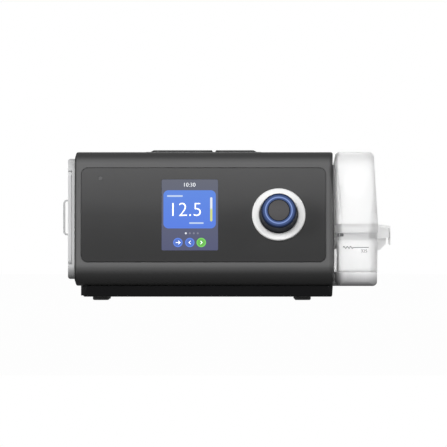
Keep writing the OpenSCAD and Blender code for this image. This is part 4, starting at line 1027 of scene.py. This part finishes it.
@dataclass(frozen=True)
class WaterMarks:
    """The fill line, its number and two dark pads on the tub's front wall, in the row frame's X and height.

    Attributes:
        width: The printed line's width.
        waves: How many waves the line has at its left end.
        wave: A wave's length and half its height.
        pads: Each dark locating pad's middle and half its size, under the lid's seam.
        start: The line's left end.
        end: The X of its right end.
        number: The number under the line, its height and its middle.
        proud: How far the print stands on the wall.
    """

    width: float = 0.55 * MM
    waves: int = 3
    wave: Point = mm(2.95, 0.95)
    pads: tuple[tuple[Point, Point], ...] = (
        (mm(98.2, 57.3), mm(0.9, 1.4)), (mm(101.3, 57.5), mm(1.5, 1.3)))
    start: Point = mm(102.5, 46.5)
    end: float = 125.1 * MM
    number: tuple[str, float, Point] = ("325", 2.6 * MM, mm(121.0, 43.4))
    proud: float = 0.06 * MM

    def points(self) -> list[Point]:
        """Draw the line.

        Returns:
            Its points from the left, where it has its waves.
        """
        x, z = self.start
        length, rise = self.wave
        found = [(x, z)]
        for index in range(self.waves):
            left = x + index * length
            found += [(left + length * 0.25, z + rise), (left + length * 0.75, z - rise)]
        return found + [(x + self.waves * length, z), (self.end, z)]

    def build(self) -> None:
        """Add the marks on the front wall."""
        ink = MouldedPlastic((0.12, 0.12, 0.125), 0.5, uneven=0.1).material("mark_ink")
        low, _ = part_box("chamber_tub")
        marks = {}
        for index, ((x, z), (wide, high)) in enumerate(self.pads):
            corners = [(x + side * wide, z + up * high) for side, up in SQUARE]
            marks[f"seal_pad_{index}"] = plate_mesh(corners, self.proud)
        marks["fill_line"] = plate_mesh(stroke(self.points(), self.width), self.proud)
        words, height, place = self.number
        marks["fill_number"] = text_mesh(words, height, self.proud, 0.0)
        marks["fill_number"].transform(Matrix.Translation((*place, 0.0)))
        for name, mesh in marks.items():
            add_piece(name, mesh, standing(low.y), "chamber", ink)


@dataclass(frozen=True)
class FingerWebs:
    """Thin webs that stiffen the lid's finger tab and the lip under it.

    Attributes:
        webs: Each web's body, with its outline as X and height, in millimetres.
        thick: How thick a web is, in metres.
        reach: How far the webs stand from the tab's middle.
        tint: How much light they let through.
    """

    webs: tuple[tuple[str, tuple[Point, ...]], ...] = (
        ("lid", ((133.0, 55.0), (143.8, 55.0), (143.8, 62.9), (133.0, 64.7))),
        ("chamber", ((133.0, 43.6), (136.0, 44.2), (141.2, 49.5), (141.2, 54.6), (133.0, 54.6))))
    thick: float = 1.0 * MM
    reach: float = 16.0 * MM
    tint: float = 0.91

    def build(self) -> None:
        """Stand the webs near both ends of the tab."""
        plastic = ClearPlastic(((0.0, self.tint), (1.0, self.tint))).material("web_plastic")
        low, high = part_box("chamber_tub")
        middle = (low.y + high.y) / 2.0
        for body, outline in self.webs:
            for index, side in enumerate((-1, 1)):
                mesh = plate_mesh([(x * MM, z * MM) for x, z in outline], self.thick)
                place = standing(middle + side * self.reach)
                add_piece(f"{body}_web_{index}", mesh, place, body, plastic)


@dataclass(frozen=True)
class HeaterSprings:
    """The four coil springs that press the heater up, in place of the plain solids.

    Attributes:
        wire: The wire's radius, in metres.
        reach: The coils' outer radius.
        turns: How many turns each has.
        keep: Their share of the height that is left when the heater is pressed down; not used.
    """

    wire: float = 0.32 * MM
    reach: float = 3.4 * MM
    turns: float = 3.5
    keep: float = 0.64

    def build(self) -> None:
        """Wind the springs and stand them under the heater."""
        low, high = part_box("heater_springs")
        sizes = {"Across": high.x - low.x - 2.0 * self.reach, "Along": high.y - low.y - 2.0 * self.reach,
                 "Height": high.z - low.z - 2.0 * self.wire, "Wire radius": self.wire,
                 "Coil radius": self.reach - self.wire, "Turns": self.turns}
        tree = GeometryTree("coil_springs", "bright_steel", sizes)
        across, along, height, wire, radius, turns = tree.sizes
        path = tree.out("GeometryNodeCurveSpiral", {
            "Resolution": 28, "Rotations": turns, "Start Radius": radius, "End Radius": radius,
            "Height": height})
        section = tree.out("GeometryNodeCurvePrimitiveCircle", {"Resolution": 8, "Radius": wire})
        coil = tree.out("GeometryNodeCurveToMesh", {
            "Curve": path, "Profile Curve": section, "Fill Caps": True})
        corners = tree.grid(across, along)
        four = tree.out("GeometryNodeInstanceOnPoints", {"Points": corners, "Instance": coil})
        middle = (low + high) / 2.0
        piece = tree.piece(four, Matrix.Translation((middle.x, middle.y, low.z + self.wire)))
        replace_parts(piece, "heater_springs")
        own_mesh(piece)


@dataclass(frozen=True)
class PleatedFilter:
    """The intake's pleated filter in its rim, in place of the plain solid.

    Attributes:
        pleats: How many pleats it has.
        paper: The paper's thickness along the air's way, in metres.
        rim: The rim's width.
    """

    pleats: int = 17
    paper: float = 0.9 * MM
    rim: float = 1.6 * MM

    def build(self) -> None:
        """Fold the filter and put it behind the door."""
        low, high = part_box("inlet_filter")
        sizes = {"Width": high.y - low.y, "Height": high.z - low.z, "Thickness": high.x - low.x,
                 "Rim": self.rim, "Paper": self.paper, "Pleats": self.pleats}
        tree = GeometryTree("pleated_filter", "filter_media", sizes)
        width, height, thick, rim, sheet, pleats = tree.sizes
        inside, tall = width - 2.0 * rim, height - 2.0 * rim
        flat = tree.grid(inside, tall, pleats * 2.0 + 1.0)
        half = inside / (pleats * 2.0)
        along = tree.out("ShaderNodeSeparateXYZ", {0: tree.out("GeometryNodeInputPosition")})
        rise = (Socket(tree, along) + inside / 2.0).pingpong(half) / half
        folded = tree.out("GeometryNodeSetPosition", {
            "Geometry": flat, "Offset": tree.vector(z=rise * (thick - sheet))})
        front = tree.out("GeometryNodeExtrudeMesh", {
            "Mesh": folded, "Offset": tree.vector(z=sheet), "Offset Scale": 1.0, "Individual": False},
            {"mode": "FACES"})
        back = tree.out("GeometryNodeFlipFaces", {"Mesh": folded})
        media = tree.out("GeometryNodeMergeByDistance", {
            "Geometry": tree.joined(front, back), "Distance": 0.01 * MM})
        bar, post = tree.block(width, rim, thick), tree.block(rim, tall, thick)
        up, out = (height - rim) / 2.0, (width - rim) / 2.0
        rims = []
        for side in (1.0, -1.0):
            rims += [tree.moved(bar, tree.vector(y=up * side)), tree.moved(post, tree.vector(x=out * side))]
        whole = tree.joined(media, tree.moved(tree.joined(*rims), tree.vector(z=thick / 2.0)))
        turn = Matrix(((0.0, 0.0, 1.0, low.x), (1.0, 0.0, 0.0, (low.y + high.y) / 2.0),
                       (0.0, 1.0, 0.0, (low.z + high.z) / 2.0), (0.0, 0.0, 0.0, 1.0)))
        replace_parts(tree.piece(whole, turn), "inlet_filter")


@dataclass(frozen=True)
class BoardParts:
    """Small parts soldered to the power board.

    Attributes:
        spacing: The least distance from one part to the next, in metres.
        part: A part's length, width and height.
        thick: The bare board's thickness.
        strip: The depth of the strip that they stand on.
        edge: How far the strip is from the board's front edge.
        end: How far it is from each end of the board.
        seed: What their places are drawn from.
    """

    spacing: float = 3.4 * MM
    part: Place = mm(2.0, 1.2, 0.8)
    thick: float = 1.6 * MM
    strip: float = 9.0 * MM
    edge: float = 1.5 * MM
    end: float = 4.0 * MM
    seed: int = 7

    def build(self) -> None:
        """Solder the parts along the board's front edge."""
        low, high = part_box("power_board")
        sizes = {**dict(zip(("Part length", "Part width", "Part height"), self.part)),
                 "Length": high.x - low.x - 2.0 * self.end, "Depth": self.strip, "Spacing": self.spacing,
                 "Seed": self.seed}
        tree = GeometryTree("board_parts", "part_black", sizes)
        *part, length, depth, spacing, seed = tree.sizes
        spots = tree.out("GeometryNodeDistributePointsOnFaces", {
            "Mesh": tree.grid(length, depth), "Distance Min": spacing, "Density Max": 90000.0, "Seed": seed},
            {"distribute_method": "POISSON"})
        block = tree.block(*part)
        quarter = tree.node("FunctionNodeRandomValue", {
            "Min_002": 0, "Max_002": 1, "Seed": seed}, {"data_type": "INT"}).outputs[2]
        turned = tree.vector(z=Socket(tree, quarter) * (math.pi / 2.0))
        parts = tree.out("GeometryNodeInstanceOnPoints", {
            "Points": spots, "Instance": block, "Rotation": turned})
        place = Matrix.Translation(((low.x + high.x) / 2.0, low.y + self.strip / 2.0 + self.edge,
                                    low.z + self.thick + self.part[2] / 2.0))
        tree.piece(parts, place)


@dataclass
class Studio:
    """The camera at the photograph's angle, soft lamps, a pale floor and a white background.

    Attributes:
        distance: The camera's distance from the row frame's origin, in metres.
        scale: The width of a picture's pixel at the front panel, in metres.
        pixels: The picture's width in pixels.
        look: The middle of the picture, across and up.
        front: The place of the front panel, along Y.
        reach: How far the floor goes each way.
        soft: The strength of the light from all round.
        clean: How white the floor looks to the camera.
        lamps: Each lamp's name, place, aim, size and power.
    """

    distance: float = 8.0
    scale: float = 0.882 * MM
    pixels: int = 447
    look: Point = mm(-3.1, 67.6)
    front: float = -0.072
    reach: float = 4.0
    soft: float = 0.06
    clean: float = 0.985
    lamps: tuple[tuple[str, Place, Place, Point, float], ...] = (
        ("front_box", (0.0, -1.55, 0.76), (0.0, -0.06, 0.08), (1.4, 0.4), 19.0),
        ("left_box", (-1.15, -0.9, 0.4), (0.0, 0.0, 0.07), (0.35, 0.7), 10.0),
        ("right_box", (1.2, -0.5, 0.4), (0.1, 0.0, 0.07), (0.35, 0.7), 5.0),
        ("rear_box", (0.0, 1.3, 0.6), (0.0, 0.06, 0.08), (1.0, 0.5), 4.0))

    def camera(self) -> None:
        """Put the camera in front, level with the middle of the picture."""
        data = bpy.data.cameras.new("camera")
        data.sensor_width = 36.0
        data.lens = data.sensor_width * (self.distance + self.front) / (self.scale * self.pixels)
        camera = linked("camera", data)
        camera.location = (self.look[0], -self.distance, self.look[1])
        camera.rotation_euler = (math.pi / 2.0, 0.0, 0.0)
        bpy.context.scene.camera = camera

    @staticmethod
    def lamp(name: str, place: Place, aim: Place, size: Point, power: float) -> None:
        """Add a soft box.

        Args:
            name: The lamp's name.
            place: Where it stands.
            aim: Where it points.
            size: Its width and height.
            power: Its power in watts.
        """
        data = bpy.data.lights.new(name, "AREA")
        data.shape = "RECTANGLE"
        data.size, data.size_y = size
        data.energy = power
        lamp = linked(name, data)
        lamp.location = place
        lamp.rotation_euler = (Vector(aim) - Vector(place)).to_track_quat("-Z", "Y").to_euler()

    def world(self) -> None:
        """Light everything softly, and show white behind the object."""
        world = bpy.data.worlds.new("studio")
        bench = Bench("studio", world)
        strength = bench.sees_white() * (1.0 - self.soft) + self.soft
        background = bench.out("ShaderNodeBackground", {"Color": WHITE, "Strength": strength})
        bench.node("ShaderNodeOutputWorld", {"Surface": background})
        bpy.context.scene.world = world

    def floor(self) -> None:
        """Lay the pale floor, which keeps the object's shadow."""
        mesh = bpy.data.meshes.new("floor")
        mesh.from_pydata([(x * self.reach, y * self.reach, 0.0) for x, y in SQUARE], [], [(0, 1, 2, 3)])
        bench = Bench("floor")
        grey = bench.mix(bench.noise(0.4), (0.09,) * 3, (0.11,) * 3)
        diffuse = bench.out("ShaderNodeBsdfDiffuse", {"Color": grey})
        white = bench.out("ShaderNodeEmission", {"Color": WHITE, "Strength": 1.0})
        mixed = bench.out("ShaderNodeMixShader", {0: bench.sees_white() * self.clean, 1: diffuse, 2: white})
        bench.node("ShaderNodeOutputMaterial", {"Surface": mixed})
        mesh.materials.append(bench.material)
        linked("floor", mesh)

    def build(self) -> None:
        """Set up the studio."""
        bpy.context.scene.view_settings.view_transform = "Standard"
        self.camera()
        self.world()
        for lamp in self.lamps:
            self.lamp(*lamp)
        self.floor()


INNER = MouldedPlastic((0.045, 0.046, 0.05), 0.5, 0.0008, 0.00003, shine=0.3)
SLOT_FINISHES: dict[str, Finish] = {
    # cover: painted shade, darker on the chin below the panel, on the top edge and at the left end
    "cover_plastic": PaintedShadePlastic((0.12, 0.12, 0.121), 0.5, 0.0006, 0.00003, 0.06, 0.06, levels=(
        (13.0, 0.24), (19.0, 0.23), (22.9, 0.25), (24.6, 0.34), (26.4, 0.47), (28.2, 0.62), (29.9, 0.88),
        (31.7, 1.04), (121.0, 1.02), (123.9, 0.78), (125.6, 0.5), (127.4, 0.38), (132.5, 0.5)),
        turn=(-133.2 * MM, 0.6)),
    "tray_plastic": MouldedPlastic((0.006, 0.006, 0.0065), 0.5, 0.0007, 0.00004, 0.1, 0.05),
    # plate: painted shade, darker towards its foot
    "plate_plastic": PaintedShadePlastic((0.092, 0.092, 0.093), 0.5, 0.0004, 0.000015, 0.06, 0.04, levels=(
        (40.0, 0.4), (52.0, 0.43), (62.0, 0.47), (75.0, 0.55), (88.0, 0.74), (97.0, 0.82), (106.0, 0.9),
        (117.0, 1.0))),
    "screen_glow": INNER,
    "sensor_window": MouldedPlastic((0.11, 0.11, 0.112), 0.4, 0.0004, 0.00001, shine=0.05),
    "white_ring": MouldedPlastic((0.8, 0.8, 0.795), 0.42, 0.0005, 0.00001, 0.02),
    "knob_plastic": MouldedPlastic((0.005, 0.007, 0.014), 0.4, 0.0006, 0.00001, 0.1, 0.01),
    "cap_plastic": MouldedPlastic((0.06, 0.058, 0.06), 0.4, 0.0004, 0.000015, 0.06, 0.12),
    # side frame: painted shade, darker at its foot and towards its top
    "side_plastic": PaintedShadePlastic((0.8, 0.805, 0.81), 0.42, 0.0006, 0.00003, 0.03, 0.3, levels=(
        (18.0, 0.12), (20.0, 0.18), (23.0, 0.3), (26.4, 0.55), (30.0, 0.98), (60.0, 1.0), (85.0, 0.92),
        (112.0, 0.87), (118.6, 0.8), (122.0, 0.63))),
    "filter_media": Fibre((0.78, 0.78, 0.75), 0.0009, 0.0004),
    "inner_plastic": INNER,
    "blower_plastic": MouldedPlastic((0.36, 0.37, 0.39), 0.48, 0.0012, 0.00005, 0.1),
    "soft_foam": Fibre((0.06, 0.06, 0.065), 0.0018, 0.0009),
    "black_rubber": Elastomer((0.015, 0.015, 0.016), 0.75),
    "clear_silicone": Elastomer((0.72, 0.72, 0.74), 0.35, 0.6),
    # clear plastic: painted shade, darker at its foot and top, and in bands at the rims
    "clear_plastic": ClearPlastic((
        (12.0, 0.6), (16.0, 0.86), (27.0, 0.995), (52.4, 1.0), (53.6, 0.84), (58.2, 0.88), (59.0, 0.78),
        (59.7, 0.92), (63.6, 0.96), (65.2, 0.84), (66.8, 0.82), (67.5, 1.0), (119.0, 1.0), (131.0, 0.8))),
    # pan: painted shade, darker towards its foot
    "pan_steel": Metal((0.62, 0.62, 0.625), 0.72, 0.00025, (1.0, 1.0, 30.0), ((12.0, 0.15), (25.0, 1.0))),
    "bright_steel": Metal((0.62, 0.62, 0.62), 0.28),
    "black_steel": Metal((0.06, 0.06, 0.065), 0.42),
    "heater_alu": Metal((0.75, 0.75, 0.76), 0.32, 0.0003, (30.0, 1.0, 1.0)),
    "motor_can": Metal((0.5, 0.5, 0.5), 0.36, 0.0003, (1.0, 1.0, 20.0)),
    "board_green": CircuitBoard(),
    "part_black": MouldedPlastic((0.02, 0.02, 0.021), 0.45, 0.0008, 0.00003),
}


def slot_material(slot: str) -> Material:
    """Give the material of a slot's finish."""
    return SLOT_FINISHES[slot].material("finish_" + slot)


def dress(node: str, finish: Finish | None = None) -> None:
    """Give a CAD node its finish.

    Args:
        node: The node's name.
        finish: The finish, where it isn't that of the node's material slot.
    """
    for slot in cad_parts[node].material_slots:
        own = slot.material.name.split(".")[0]
        if finish:
            slot.material = finish.material("finish_" + node)
        elif own in SLOT_FINISHES:
            slot.material = slot_material(own)
    LOG.info("node %s dressed", node)


def main() -> None:
    """Build the scene in order."""
    Studio().build()
    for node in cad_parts:
        dress(node)
    dress("right_trim", MouldedPlastic((0.13, 0.13, 0.132), 0.5, 0.0006, 0.00003, shine=0.1))
    # painted shade: the grip is a darker copy of the side frame's plastic
    dress("door_grip", MouldedPlastic((0.5, 0.505, 0.51), 0.42, 0.0006, 0.00003, 0.03, 0.3))
    for part in (FrontPanel, WaterMarks, FingerWebs, HeaterSprings, PleatedFilter, BoardParts):
        part().build()


if __name__ == "__main__":
    main()
